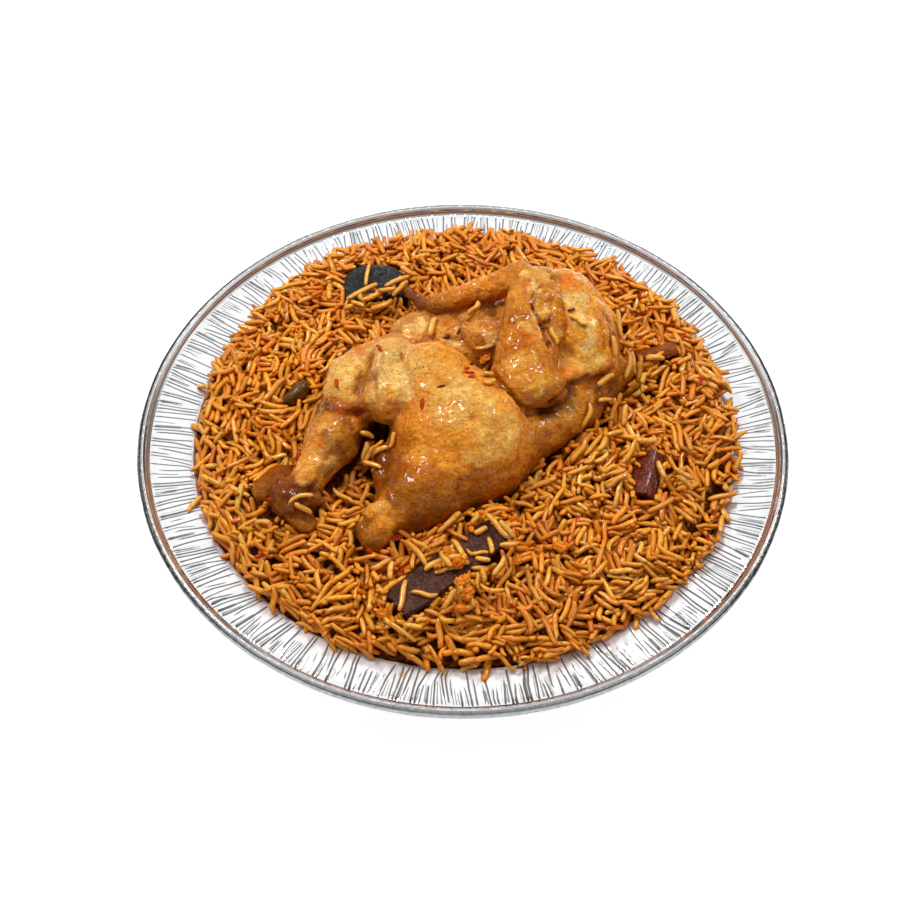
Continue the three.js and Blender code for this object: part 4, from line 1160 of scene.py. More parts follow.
def model_lime():
    let_go()
    bpy.ops.mesh.primitive_ico_sphere_add(subdivisions=6, radius=1)
    lime = bpy.context.object
    lime.name = "dried_lime_wrinkled"
    out = directions(points_of(lime.data))
    hollow = np.array([-0.45, -0.25, 0.85])
    pressed = 0.36 * smooth_step(0.6, 1, out @ (hollow / np.linalg.norm(hollow)))
    bulge = 0.05 * smooth_step(0.6, 1, out @ directions(np.array([[0.5, -0.1, 0.85]]))[0])
    waves = 0.03 * np.sin(7 * out[:, 0] + 3 * out[:, 2]) * np.cos(6 * out[:, 1] - 2 * out[:, 0])
    size = np.array(LIME_SIZE)
    peel = out * (1 - pressed + bulge + waves)[:, None] * size
    ribs = 1 - 2 * np.abs(noise_at(peel * (0.35, 1, 1), 3.2))
    pits = noise_at(peel, 1.5, 9)
    set_points(lime.data, (peel + out * (0.3 * ribs + 0.12 * pits)[:, None]) * MM)
    set_down(lime, LIME_AT, -4)
    return lime


lime = model_lime()

# %% [markdown]
# A cardamom pod has three sides. It is a closed tube: a ring that is extruded and resized along
# its length, blunt at one end, pointed at the other, with fine ribs running along it.

# %% The cardamom pod
POD_AT = (-89.5, 15, 43.6)
POD_GIRTHS = ((-9.9, 0.5), (-9.2, 1.3), (-7.6, 2.5), (-4.8, 3.7), (-1.6, 4.5), (1.8, 4.9), (4.8, 4.7),
              (7.2, 3.7), (8.9, 2.2), (9.7, 0.9))


def model_pod():
    let_go()
    first, girth = POD_GIRTHS[0]
    bpy.ops.mesh.primitive_circle_add(vertices=30, radius=girth * MM, location=(first * MM, 0, 0),
                                      fill_type="NGON", rotation=(0, math.pi / 2, 0), enter_editmode=True)
    bpy.ops.mesh.select_all(action="SELECT")
    for place, wide in POD_GIRTHS[1:]:
        bpy.ops.mesh.extrude_region_move(TRANSFORM_OT_translate={"value": ((place - first) * MM, 0, 0)})
        bpy.ops.transform.resize(value=(1, wide / girth, wide / girth), center_override=(0, 0, 0))
        first, girth = place, wide
    bpy.ops.mesh.select_all(action="SELECT")
    bpy.ops.mesh.normals_make_consistent(inside=False)
    bpy.ops.object.mode_set(mode="OBJECT")
    pod = bpy.context.object
    pod.name = "cardamom_pod_ribbed"
    take(pod)
    bpy.ops.object.transform_apply(location=True, rotation=True, scale=True)
    rounder = pod.modifiers.new("rounder", "SUBSURF")
    rounder.levels = rounder.render_levels = 2
    bpy.ops.object.modifier_apply(modifier="rounder")
    points = points_of(pod.data) / MM
    angle = np.arctan2(points[:, 2], points[:, 1])
    ribbed = 1 + 0.1 * np.cos(3 * angle + 0.6) + 0.02 * np.cos(24 * angle + 1.2 * np.sin(points[:, 0] / 3))
    points[:, 1:] *= ribbed[:, None]
    points[:, 1] += 0.02 * points[:, 0] ** 2
    set_points(pod.data, points * MM)
    set_down(pod, POD_AT, 42, 12)
    return pod


pod = model_pod()
print("pod", len(pod.data.vertices), "points")

# %% [markdown]
# Cassia bark comes as curled slabs with ragged ends. Each starts as a flat grid, is bent and
# roughened by rule, gets its thickness from Solidify and its worn edges from Bevel.

# %% Bark
BARK_STEP = 0.7


def model_bark(name, at, heading, pitch, length, width, thick, sag, shape, seed):
    let_go()
    bpy.ops.mesh.primitive_grid_add(x_subdivisions=int(length / BARK_STEP),
                                    y_subdivisions=int(width / BARK_STEP), size=2)
    bark = bpy.context.object
    bark.name = name
    flat = points_of(bark.data)
    u, v = flat[:, 0], flat[:, 1]
    wide = 1 - 0.16 * np.abs(u) ** 3 + 0.07 * noise_at(np.column_stack([u * 3, np.sign(v), u * 0]), 1, seed)
    far = 1 + 0.08 * noise_at(np.column_stack([v * 3, np.sign(u), v * 0]), 1, seed + 5)
    points = np.column_stack([u * length / 2 * far, v * width / 2 * wide, sag * shape(u, v)])
    coarse = noise_at(points * (0.5, 1, 1), 4.5, seed)
    points[:, 2] += 0.5 * coarse + 0.16 * noise_at(points * (0.3, 1, 1), 1.3, seed)
    set_points(bark.data, points * MM)
    take(bark)
    wall = bark.modifiers.new("thickness", "SOLIDIFY")
    wall.thickness = thick * MM
    wall.offset = 0
    bpy.ops.object.modifier_apply(modifier="thickness")
    worn = bark.modifiers.new("worn_edges", "BEVEL")
    worn.width = min(0.6, thick / 4) * MM
    worn.segments = 2
    worn.angle_limit = math.radians(50)
    bpy.ops.object.modifier_apply(modifier="worn_edges")
    set_down(bark, at, heading, pitch)
    return bark


barks = [
    model_bark("bark_front_slab", (-6.5, -96, 41.6), 41, 2, 70, 19, 3.4, 2.5,
               lambda u, v: 0.5 * v * v - 0.35 * u * u, 3),
    model_bark("bark_right_curl", (95, -38, 42.6), 74, 4, 27, 14, 3.6, 4.5,
               lambda u, v: 0.5 - np.abs(v + 0.25), 8),
    model_bark("bark_strip_peel", (106, 44.5, 44), 18, 6, 23, 9, 1.8, 3,
               lambda u, v: 0.6 - v * v - 0.2 * u, 21),
]
print("bark", [len(bark.data.vertices) for bark in barks])

# %% [markdown]
# The berry is a dried round fruit with a net of wrinkles, like a peppercorn.

# %% The spice berry
BERRY_AT = (86.4, 74, 43)


def model_berry():
    let_go()
    bpy.ops.mesh.primitive_ico_sphere_add(subdivisions=4, radius=3.1 * MM)
    berry = bpy.context.object
    berry.name = "spice_berry_wrinkled"
    points = points_of(berry.data) / MM
    net = np.array([noise.voronoi(Vector(p) / 1.5)[0] for p in points])
    wrinkles = 0.9 * (net[:, 1] - net[:, 0]) - 0.3
    set_points(berry.data, (points + directions(points) * wrinkles[:, None]) * MM)
    set_down(berry, BERRY_AT)
    return berry


berry = model_berry()
print("berry", len(berry.data.vertices), "points")

# %% [markdown]
# The lime is black with a dusty grey bloom on what stands out. The pod is olive brown and glossy
# with oil. The bark has purplish brown outer sides with pale specks, and where oil wets it, it
# is redder and shines.

# %% Spice finishes
def lime_finish():
    lime_peel = Finish("dried_lime_peel")
    place = lime_peel.place()
    dust = lime_peel.clouds(2.0, place, detail=6, rough=0.7)
    wide = lime_peel.clouds(16, place, detail=2, shift=4)
    away = lime_peel.away(place, LIME_HOLLOW)
    colour = lime_peel.mixed(dust.above(0.44, 0.72), tone(9, 8, 9), tone(84, 86, 90))
    # Painted shade: the pressed hollow is darker.
    colour = lime_peel.mixed((1 - away.above(4, 10)) * 0.9, colour, tone(6, 5, 6))
    colour = lime_peel.mixed(wide.above(0.55, 0.75) * 0.5, colour, tone(72, 50, 34))
    pores = lime_peel.cells(1.2, place)
    normal = lime_peel.bump(dust, 0.9, lime_peel.bump(pores, 0.25))
    return lime_peel.done(Base_Color=colour, Roughness=0.3 + dust * 0.25, Normal=normal,
                          Specular_IOR_Level=0.35)


def pod_finish():
    husk = Finish("cardamom_husk")
    lengthwise = husk.moved(husk.place(), Rotation=(0, 0, math.radians(-42)))
    lines = husk.clouds(1.0, husk.moved(lengthwise, Scale=(0.12, 1, 1)), detail=3)
    blotch = husk.clouds(7, detail=3, shift=3)
    colour = husk.mixed(lines.above(0.4, 0.65) * 0.8, tone(66, 36, 4), tone(122, 78, 18))
    colour = husk.mixed(blotch.above(0.5, 0.7) * 0.7, colour, tone(46, 22, 3))
    return husk.done(Base_Color=colour, Roughness=0.38 + lines * 0.1, Normal=husk.bump(lines, 0.2),
                     Specular_Tint=(1.0, 0.7, 0.3), Coat_Weight=0.5 + blotch * 0.3,
                     Coat_IOR=1.36, Coat_Roughness=0.12)


def bark_finish(name, dark, light, gloss):
    bark = Finish(name)
    grain = bark.clouds(1.6, detail=5, rough=0.65)
    patch = bark.clouds(13, detail=3, shift=5)
    colour = bark.mixed(grain.above(0.44, 0.7), dark, light)
    colour = bark.mixed(patch.above(0.5, 0.68) * 0.5, colour, light)
    specks = (1 - bark.cells(2.4).above(0.09, 0.14)) * bark.clouds(8, shift=6).above(0.5, 0.55)
    colour = bark.mixed(specks * 0.7, colour, tone(176, 150, 128))
    normal = bark.bump(grain, 0.35 + gloss * 0.4, bark.bump(bark.cells(0.9), 0.12))
    coat = gloss * (grain.above(0.35, 0.55) * 0.8 + 0.2) if gloss else 0.0
    return bark.done(Base_Color=colour, Roughness=0.55 - gloss * 0.25 + grain * 0.15, Normal=normal,
                     Specular_IOR_Level=0.25, Specular_Tint=(1.0, 0.75, 0.5),
                     Coat_Weight=coat, Coat_IOR=1.36, Coat_Roughness=0.2)


dress(lime, lime_finish())
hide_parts("dried_lime")
dress(pod, pod_finish())
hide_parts("cardamom_pod")
BARK_LOOKS = (("bark_dull", (58, 30, 24), (104, 66, 56), 0.0),
              ("bark_oiled", (74, 18, 6), (150, 52, 28), 1.0),
              ("bark_caramel", (116, 48, 3), (164, 80, 10), 0.5))
BARK_NODES = ("bark_front", "bark_right", "bark_strip")
for piece, node, (name, dark, light, gloss) in zip(barks, BARK_NODES, BARK_LOOKS):
    dress(piece, bark_finish(name, tone(*dark), tone(*light), gloss), 40)
    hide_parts(node)
dress(berry, bark_finish("berry_skin", tone(70, 36, 12), tone(140, 86, 34), 0.6))
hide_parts("spice_berry")


def spread(cells, reach):
    for axis in (0, 1):
        cells = np.logical_or.reduce([np.roll(cells, shift, axis) for shift in range(-reach, reach + 1)])
    return cells


bare = ground.copy()
for spice in (lime, pod, *barks, berry):
    ground = add_tops(ground, points_of(spice.data) / MM)
beside = spread(ground > bare + 0.1, 9) & (ground < bare + 0.1)
wanted[beside & (wanted > 0)] += 2.4
bare = ground > heap_height(map_x, map_y) + 8
wanted[spread(bare, 12) & ~bare & (wanted > 0)] += 1.6
print("spices set down, highest", ground[map_x < -20].max().round(1))

# %% [markdown]
# One cooked grain is long, slender and blunt at both ends. It is modelled once, from a ball drawn
# out along X, whose end rings are widened, and every grain in the heap is a bent and scaled copy
# of it. With 84 faces it can be repeated thousands of times.

# %% One grain
def model_grain():
    let_go()
    bpy.ops.mesh.primitive_uv_sphere_add(segments=6, ring_count=8, radius=0.5, rotation=(0, math.pi / 2, 0))
    grain = bpy.context.object
    bpy.ops.object.transform_apply(location=True, rotation=True, scale=True)
    points = points_of(grain.data)
    for reach, wide in ((0.46, 1.65), (0.35, 1.27), (0.19, 1.06)):
        pick(grain.data, np.abs(np.abs(points[:, 0]) - reach) < 0.03)
        bpy.ops.object.mode_set(mode="EDIT")
        bpy.ops.transform.resize(value=(1, wide, wide), center_override=(0, 0, 0))
        bpy.ops.object.mode_set(mode="OBJECT")
    bpy.ops.object.mode_set(mode="EDIT")
    bpy.ops.mesh.select_all(action="SELECT")
    bpy.ops.mesh.quads_convert_to_tris()
    bpy.ops.object.mode_set(mode="OBJECT")
    points = points_of(grain.data)
    faces = np.array([face.vertices[:] for face in grain.data.polygons])
    chart = np.empty(len(grain.data.loops) * 2)
    grain.data.uv_layers[0].data.foreach_get("uv", chart)
    bpy.ops.object.delete()
    return points, faces, chart.reshape(-1, 2)


GRAIN_POINTS, GRAIN_FACES, GRAIN_CHART = model_grain()
print("a grain has", len(GRAIN_FACES), "faces")

# %% [markdown]
# A grain is dropped at a spot with a heading. The heights below it are read at seven places along
# it. It comes to rest on the two that hold it up on either side of its middle, as a stick on
# stones would, and the map is then raised to its back, for the next grain to lie on.

# %% Drop a grain
GRAIN_STATIONS = np.array([-0.46, -0.32, -0.16, 0.0, 0.16, 0.32, 0.46])
GRAIN_SIDES = np.array([-0.33, 0.0, 0.33])
STEEPEST = 0.7


def grain_spots(x, y, heading, length, bend, stations, sides):
    """Points in plan along the bent middle line of a grain, and beside it."""
    along = stations * length
    aside = bend * (4 * stations ** 2 - 0.33)
    across = aside[:, None] + sides[None, :]
    cos, sin = math.cos(heading), math.sin(heading)
    return x + cos * along[:, None] - sin * across, y + sin * along[:, None] + cos * across


def rest_of(ground, x, y, heading, length, width, tall, bend, steepest=STEEPEST):
    """Height of the grain's middle line at its middle, and its slope, when it comes to rest."""
    spots = grain_spots(x, y, heading, length, bend, GRAIN_STATIONS, GRAIN_SIDES * width)
    lift = np.array([-0.12, 0.0, -0.12]) * tall
    under = (ground[cell_of(*spots)] + lift).max(1)
    along = GRAIN_STATIONS * length
    left, right = np.meshgrid(range(3), range(4, 7), indexing="ij")
    slopes = (under[right] - under[left]) / (along[right] - along[left])
    middles = under[left] - slopes * along[left]
    slope = np.clip(slopes.ravel()[middles.argmax()], -steepest, steepest)
    taper = np.array([0.35, 0.75, 0.95, 1, 0.95, 0.75, 0.35]) * tall / 2
    return (under - slope * along + taper).max(), slope


def lay_grain(ground, x, y, heading, length, width, tall, bend, middle, slope):
    stations = np.linspace(-0.48, 0.48, 27)
    sides = np.linspace(-0.45, 0.45, 5)
    spots = grain_spots(x, y, heading, length, bend, stations, sides * width)
    girth = np.sqrt(1 - (2 * stations) ** 4)
    line = (middle + slope * stations * length)[:, None]
    backs = line + tall / 2 * girth[:, None] * np.sqrt(1 - 3 * sides ** 2)
    np.maximum.at(ground, cell_of(*spots), backs)


print("a grain on the empty bed rests at", rest_of(ground, 100, 0, 0, 13, 2.7, 2.4, 0)[0].round(1))

# %% [markdown]
# Grains are laid where the heap lacks most. Their headings follow a slow noise, because rice that
# was spooned out lies in small bundles, with plenty of stray ones. A grain that would stand
# too high over the heap is left out, and the laying stops when there is little room left.

# %% Fill the heap
GRAIN_TOTAL = 9000
OVER = 1.9
SINK = 0.4
TOP_GRAINS = 3200
MISSES_ALLOWED = 7000
LEAST_ROOM = 0.8


def random_grain(rng, x, y):
    sweep = noise.noise(Vector((x / 15, y / 15, 4))) + 0.6 * noise.noise(Vector((x / 5, y / 5, 9)))
    heading = math.pi * 1.8 * sweep + rng.normal(0, 0.6)
    length = float(np.clip(rng.normal(14.4, 3.3), 6.5, 21))
    width = float(np.clip(rng.normal(3.05, 0.3), 2.4, 3.8))
    bend = float(rng.normal(0, 0.6) if rng.random() < 0.8 else rng.choice([-1, 1]) * rng.uniform(1.2, 2.6))
    return heading, length, width, width * rng.uniform(0.8, 0.95), bend


def settle(ground, x, y, made, turns=(0, 0.8, -0.8, 1.57), over=OVER):
    """The made grain laid at this spot the way it lies lowest, or None where it would stand too high."""
    heading, length, width, tall, bend = made
    best = None
    for turn in turns:
        middle, slope = rest_of(ground, x, y, heading + turn, length, width, tall, bend)
        high = middle + tall / 2 - wanted[cell_of(x, y)]
        if best is None or high < best[0] - 0.6:
            best = (high, heading + turn, middle, slope)
    if best[0] > over or abs(best[3]) >= STEEPEST * 0.98:
        return None
    return (x, y, best[1], length, width, tall, bend, best[2] - SINK, best[3])


def dipped(rng, x, y, made):
    """A grain stuck into the heap, with its free end over this spot, where no grain would lie flat."""
    heading, length, width, tall, bend = made
    slope = rng.uniform(0.5, 1.5) * rng.choice([-1, 1])
    tilt = math.atan(slope)
    back = 0.25 * length * math.cos(tilt) * (1 if slope > 0 else -1)
    end = wanted[cell_of(x, y)] + rng.uniform(1.2, 3.4)
    return (x - back * math.cos(heading), y - back * math.sin(heading), heading, length, width, tall,
            bend * 0.5, end - 0.5 * length * abs(math.sin(tilt)), slope)


def edge_grains(ground, rng):
    """Grains that lie along the foot of the flange, all round the heap."""
    laid = []
    for angle in np.arange(0, 2 * math.pi, 0.052):
        _, length, width, tall, bend = random_grain(rng, 0, 0)
        for inward in (1.0, 3.4, 6.0, 1.6, 8.6, 4.6):
            turn = angle + rng.uniform(-0.02, 0.02)
            radius = float(heap_radius(turn)) - inward - rng.uniform(0, 1.4)
            x, y = radius * math.cos(turn), radius * math.sin(turn)
            heading = turn + math.pi / 2 + rng.normal(0, 0.35 + 0.08 * inward)
            middle, slope = rest_of(ground, x, y, heading, length, width, tall, -0.35)
            grain = (x, y, heading, length, width, tall, -0.35, middle - SINK, slope)
            if middle < HEAP_EDGE + 4.5 + 0.4 * inward:
                lay_grain(ground, *grain)
                laid.append(grain)
    return laid


def fill_heap(ground, seed=5):
    rng = np.random.default_rng(seed)
    inside = np.argwhere(wanted > 0)
    laid = edge_grains(ground, rng)
    misses = 0
    while len(laid) < GRAIN_TOTAL and misses < MISSES_ALLOWED:
        some = inside[rng.integers(0, len(inside), 14)]
        room = wanted[some[:, 0], some[:, 1]] - ground[some[:, 0], some[:, 1]]
        if room.max() < LEAST_ROOM:
            misses += 1
            continue
        x, y = across_at(some[room.argmax()], rng)
        made = random_grain(rng, x, y)
        grain = settle(ground, x, y, made)
        if grain is None:
            misses += 1
            if rng.random() > 0.16 or math.hypot(x, y) > 132:
                continue
            grain = dipped(rng, x, y, made)
        lay_grain(ground, *grain)
        laid.append(grain)
        for step in range(rng.integers(0, 4)):
            aside = made[2] * 1.05 * (step + 1) * (1 if rng.random() < 0.9 else -1)
            beside_x, beside_y = x - aside * math.sin(grain[2]), y + aside * math.cos(grain[2])
            _, length, width, tall, _ = random_grain(rng, x, y)
            sister = (grain[2] + rng.normal(0, 0.13), length, width, tall, made[4])
            sister = settle(ground, beside_x, beside_y, sister, (0,))
            if sister and wanted[cell_of(beside_x, beside_y)] > 0:
                lay_grain(ground, *sister)
                laid.append(sister)
    for _ in range(TOP_GRAINS):
        x, y = across_at(inside[rng.integers(len(inside))], rng)
        grain = settle(ground, x, y, random_grain(rng, x, y), (rng.uniform(-1.5, 1.5),), 3.4)
        if grain is not None and ground[cell_of(x, y)] < wanted[cell_of(x, y)] + 2.5:
            lay_grain(ground, *grain)
            laid.append(grain)
    return laid, misses


def across_at(cell, rng):
    return [float((c + rng.random()) * CELL - MAP_HALF) for c in cell]


grains, misses = fill_heap(ground)
gap = (wanted - ground)[(wanted > 0) & (ground < wanted + 3)]
print(len(grains), "grains,", misses, "misses, mean room left", gap.mean().round(2))

# %% [markdown]
# Some grains stick to the chicken, lie across the spices or hang over the flange. Each of these
# has its own spot and heading in a table, and comes to rest by the same rule as the others.

# %% Lay the loose grains
PALE = (246, 184, 84)
AMBER = (236, 150, 26)
LOOSE_GRAINS = [
    (-53.7, 84.5, 158, 10), (-47.5, 84.1, 137, 9), (-44.8, 75.4, 11, 14), (-34.9, 80.6, 36, 11),
    (-55.8, 78.9, 114, 7), (-38.8, 84.5, 74, 11), (-32.9, 93.3, 138, 7), (-32.8, 88, 146, 7),
    (-58.3, 76.7, 139, 11), (-63.4, 76.3, 154, 7), (-54.6, 86.9, 9, 15), (-56, 83.8, 25, 20),
    (-50, 80, 30, 13), (-42, 82, 160, 12), (-36.2, 89.8, 41, 20), (-30.3, 97.9, 139, 13),
    (-53.4, 98.4, 82, 15), (-1.9, -114.8, 90, 15), (-41.8, -94.2, 21, 11), (-36.6, -98.8, 85, 11),
    (-30.1, -133.3, 155, 17), (-20.8, -127, 37, 8), (-25.1, -131.4, 168, 10), (-8.3, -126.5, 2, 9),
    (4.8, -124.4, 168, 10), (-23.1, -90.2, 127, 17), (-21.8, -86.2, 147, 10), (-12.2, -82.2, 32, 8),
    (-13, -86.2, 37, 9), (8.8, -76.1, 30, 8), (6, -71, 61, 7), (23.1, -88.2, 27, 12), (6.4, -119, 106, 10),
    (2.9, -119.6, 31, 10), (3.5, -115.1, 105, 13), (9.9, -102.8, 99, 8), (6.9, -105.7, 95, 9),
    (-14.6, -96.2, 33, 13), (-10, -99.5, 24, 10), (-6.7, -87.5, 57, 8), (-4, -98.8, 19, 8),
    (-7.8, -93.5, 60, 12), (-9, -96, 120, 11), (-3, -94, 20, 12), (-0.2, -96.5, 24, 7),
    (6.7, -89.5, 167, 12), (9.7, -94.2, 175, 8), (13.8, -85.5, 98, 11), (-2.5, -88.2, 118, 13),
    (-0.2, -96.2, 78, 7), (-19.5, -113.8, 166, 14), (-7.1, -117.4, 49, 12), (-30.4, -114.1, 80, 18),
    (14, -111.2, 168, 13), (17.6, -75.4, 131, 19), (-0.8, -110.6, 70, 12), (1.9, -113, 110, 11),
    (18, -98, 60, 12), (22, -80, -40, 12), (24, -74, 20, 11), (78, -40.2, 7, 14), (79.4, -44, 3, 15),
    (78.3, -46.4, 13, 11), (75.8, -38.3, 3, 9), (83.2, -36.8, 54, 7), (96.2, -20.5, 174, 12),
    (87.1, -27.1, 53, 16), (104.7, 38, 3, 11), (90.6, 35, 95, 15), (98, 24.6, 62, 14),
    (84.4, 43.3, 106, 18), (112.5, -13.4, 97, 20), (114.9, -12.9, 94, 20), (118.8, -14.7, 103, 17),
    (115, -38.7, 5, 15), (114.9, -43.5, 173, 14), (103, -38, 110, 11), (-141.5, -44.5, -124, 12),
    (-142.9, 35.3, 142, 10), (146.3, -21.4, 69, 12), (142.8, 30, -115, 11), (29.1, 146.3, -82, 11),
    (5.6, 51, 50, 13), (6.1, 50.6, 30, 9), (-16.5, 44.6, 75, 12), (61.1, 32.7, -22, 12),
    (47.8, 21.9, -67, 10), (65.8, -6.9, 69, 14), (75.5, 4, 43, 13), (80.5, 26.1, 100, 12),
    (75.5, 12.1, 40, 12), (89, 26, 75, 12), (-36.6, -30.7, 63, 9), (-46, -30, -9, 12), (-44, -34, 9, 12),
    (-49, -36, 50, 12), (-47, -41, -30, 12), (-51, -31, 70, 11), (-50, -25, 20, 10), (-82.7, -62.4, 11, 14),
    (-81.6, -65.8, 1, 12), (11.7, 31.4, 1, 11), (12.4, 24, 60, 10), (13.2, -0.2, 47, 9), (13.8, -8, 36, 8),
    (-5.8, -71.7, 40, 12), (-8.9, -76, 35, 12), (60, -36, 20, 13), (68, -28, 40, 12), (74, -20, 60, 12),
    (80, -14, 30, 12), (86, -2, 80, 12), (104, 36, 10, 10)
]
rng = np.random.default_rng(41)
hand_laid = []
for x, y, heading, length in LOOSE_GRAINS:
    _, _, width, tall, bend = random_grain(rng, x, y)
    heading = math.radians(heading)
    middle, slope = rest_of(ground, x, y, heading, length, width, tall, bend, 1.1)
    hand_laid.append((x, y, heading, length, width, tall, bend, middle - SINK, slope))
    lay_grain(ground, *hand_laid[-1])
print(len(hand_laid), "loose grains, the highest at", max(grain[7] for grain in hand_laid).round(1))

# %% [markdown]
# The rice was cooked with chopped tomato, whose skins came off in small red flakes. Some lie in
# the rice and some on the chicken, as do a few cumin seeds. All are balls of triangles, pressed
# to their size and made uneven. Where grains clumped, the sauce dried to lumps of orange paste.

# %% Flakes, seeds and lumps
FLAKES = [(-122, -78), (-104, -85), (36, -132), (89, -88), (131, -55), (117, 0), (43, -69), (126, -72),
          (-113, -80), (-100, -55), (-31, -100), (24, -117), (18, -103), (12, -109), (59, -66), (89, -62),
          (70, -53), (-57, -92), (-85, -35), (-111, 63), (-80, 85), (122, 60), (100, 85), (129, 26),
          (-21, -20), (-43, 13), (3, -1), (-66, -2), (-33, -79), (1.5, 2), (4, -5), (-47, -87), (-12, -75),
          (52, -104), (-70, -118), (20, 128), (-20, 118)]
SEEDS = [(-11.5, -11.5, 20), (4.7, 9, 60), (36.4, 37, 100), (57.3, 39.3, 30), (42, 27.1, 80),
         (45, 18.2, 110), (-8.4, 39.8, 20), (-2, 41, 70), (97, -87, 120), (77, -36, 40), (-21, -140, 10),
         (-82, -105, 60), (-113, -16, 20), (47, -132, 80), (-62, 47, 30), (28, -146, 5)]
LUMPS = [(-12, -97, 5.5, 4), (-7.8, -93, 6, 4.5), (-4, -91, 4.5, 3.5), (-3, -98, 5, 3.5),
         (-0.8, -110.6, 5, 4), (2, -116, 5, 4), (-1, -121, 4.5, 4), (27, -93, 6, 4), (9, -68, 5, 4),
         (49, -84, 5, 4), (12, 28, 5, 5), (12, 20, 4, 4.5), (60, 94, 5, 4), (-96, 38, 5, 3),
         (-40, -122, 5, 3.5)]


def pressed_balls(name, spots, shape, detail, rough):
    """One piece of many small balls, each pressed to its own size, tilted to the ground and roughened."""
    rng = np.random.default_rng(len(spots))
    let_go()
    balls = []
    for x, y, *more in spots:
        size, heading = shape(rng, more)
        height = ground[cell_of(x, y)]
        slope_x = (ground[cell_of(x + 2, y)] - ground[cell_of(x - 2, y)]) / 4
        slope_y = (ground[cell_of(x, y + 2)] - ground[cell_of(x, y - 2)]) / 4
        lean_x = float(np.clip(math.atan(slope_y), -0.7, 0.7))
        lean_y = float(np.clip(-math.atan(slope_x), -0.7, 0.7))
        bpy.ops.mesh.primitive_ico_sphere_add(subdivisions=detail, radius=MM, scale=size,
                                              rotation=(lean_x, lean_y, heading),
                                              location=(x * MM, y * MM, (height + size[2] * 0.25) * MM))
        balls.append(bpy.context.object)
    take(*balls)
    bpy.ops.object.join()
    bpy.ops.object.transform_apply(location=True, rotation=True, scale=True)
    piece = bpy.context.object
    piece.name = name
    points = points_of(piece.data) / MM
    push = np.stack([noise_at(points, 1.6, shift) for shift in (3, 13, 23)], 1)
    set_points(piece.data, (points + push * rough) * MM)
    return piece


flakes = pressed_balls("tomato_flakes", FLAKES, lambda rng, more: (
    (rng.uniform(2.2, 4.0), rng.uniform(0.9, 1.5), rng.uniform(0.5, 0.7)), rng.uniform(0, 6)), 3, 0.6)
seeds = pressed_balls("cumin_seeds", SEEDS, lambda rng, more: (
    (2.6, 0.75, 0.7), math.radians(more[0])), 3, 0.15)
lumps = pressed_balls("sauce_lumps", LUMPS, lambda rng, more: (
    (more[0] * 0.8, more[1] * 0.75, 1.6), rng.uniform(0, 6)), 4, 0.9)
for piece in (flakes, seeds, lumps):
    print(piece.name, len(piece.data.vertices), "points")

# %% [markdown]
# Tomato skin is thin, red and glossy. Cumin is a dull dark brown with fine lines. The sauce has the
# colour of the rice, only deeper, and is wet.

# %% Finishes of the small things
def wet_finish(name, one, other, coat):
    wet = Finish(name)
    mottle = wet.clouds(1.4, detail=4)
    fine = wet.clouds(0.6, detail=3, shift=4)
    colour = wet.mixed(mottle.above(0.38, 0.62), tone(*one), tone(*other))
    normal = wet.bump(mottle, 0.5, wet.bump(fine, 0.2))
    return wet.done(Base_Color=colour, Roughness=0.38 + fine * 0.2, Normal=normal,
                    Specular_IOR_Level=0.25, Specular_Tint=(1.0, 0.7, 0.4), Coat_IOR=1.36,
                    Coat_Weight=mottle.above(0.4, 0.55) * coat, Coat_Roughness=0.12,
                    Subsurface_Weight=0.1, Subsurface_Radius=(1.0, 0.35, 0.1), Subsurface_Scale=0.001)


dress(flakes, wet_finish("tomato_skin", (150, 30, 2), (204, 70, 4), 0.5))
dress(seeds, wet_finish("cumin", (52, 26, 12), (104, 62, 30), 0.3))
dress(lumps, wet_finish("sauce", (208, 98, 4), (238, 146, 30), 0.5))

# %% [markdown]
# The copies are worked out together as one array. Each sixth of the heap becomes a piece of its
# own, so that none is too large. Each grain has its own tone: most are amber, some are
# pale where they met no sauce, some deep orange. It also has its own cell on the bake's chart.

# %% Turn the list into meshes
GRAIN_TONES = (((242, 144, 6), 0.36), ((232, 124, 2), 0.24), ((248, 160, 20), 0.20), ((250, 192, 88), 0.08),
               ((214, 102, 0), 0.10), ((206, 72, 6), 0.02))
# The ridge colour is a painted highlight on the tops of the grains.
RIDGE_HIGHLIGHT = (255, 198, 84)


def grain_tones(count, rng):
    shares = np.array([share for _, share in GRAIN_TONES])
    palette = np.array([tone(*colour) for colour, _ in GRAIN_TONES])
    chosen = palette[rng.choice(len(palette), count, p=shares / shares.sum())]
    return np.clip(chosen * rng.uniform(0.85, 1.12, (count, 1)), 0, 1)


def grain_copies(laid, rng):
    """The points of all grains, in millimetres, and the same points in each grain's own frame."""
    x, y, heading, length, width, tall, bend, middle, slope = np.array(laid).T[:, :, None]
    unit = GRAIN_POINTS[None, :, :]
    blunt = rng.uniform(0.85, 1.1, (len(laid), 1))
    girth = np.hypot(unit[..., 1], unit[..., 2])
    thick = np.where(girth > 1e-6, girth ** (blunt - 1), 1)
    along = unit[..., 0] * length
    twist = rng.normal(0, 0.35, (len(laid), 1)) * np.sin(unit[..., 0] * 7)
    aside = unit[..., 1] * width * thick + bend * (4 * unit[..., 0] ** 2 - 0.33) + twist
    upward = unit[..., 2] * tall * thick
    own = np.stack([along, aside, upward], -1)
    tilt = np.arctan(slope)
    forward = along * np.cos(tilt) - upward * np.sin(tilt)
    high = middle + along * np.sin(tilt) + upward * np.cos(tilt)
    return np.stack([x + np.cos(heading) * forward - np.sin(heading) * aside,
                     y + np.sin(heading) * forward + np.cos(heading) * aside, high], -1), own


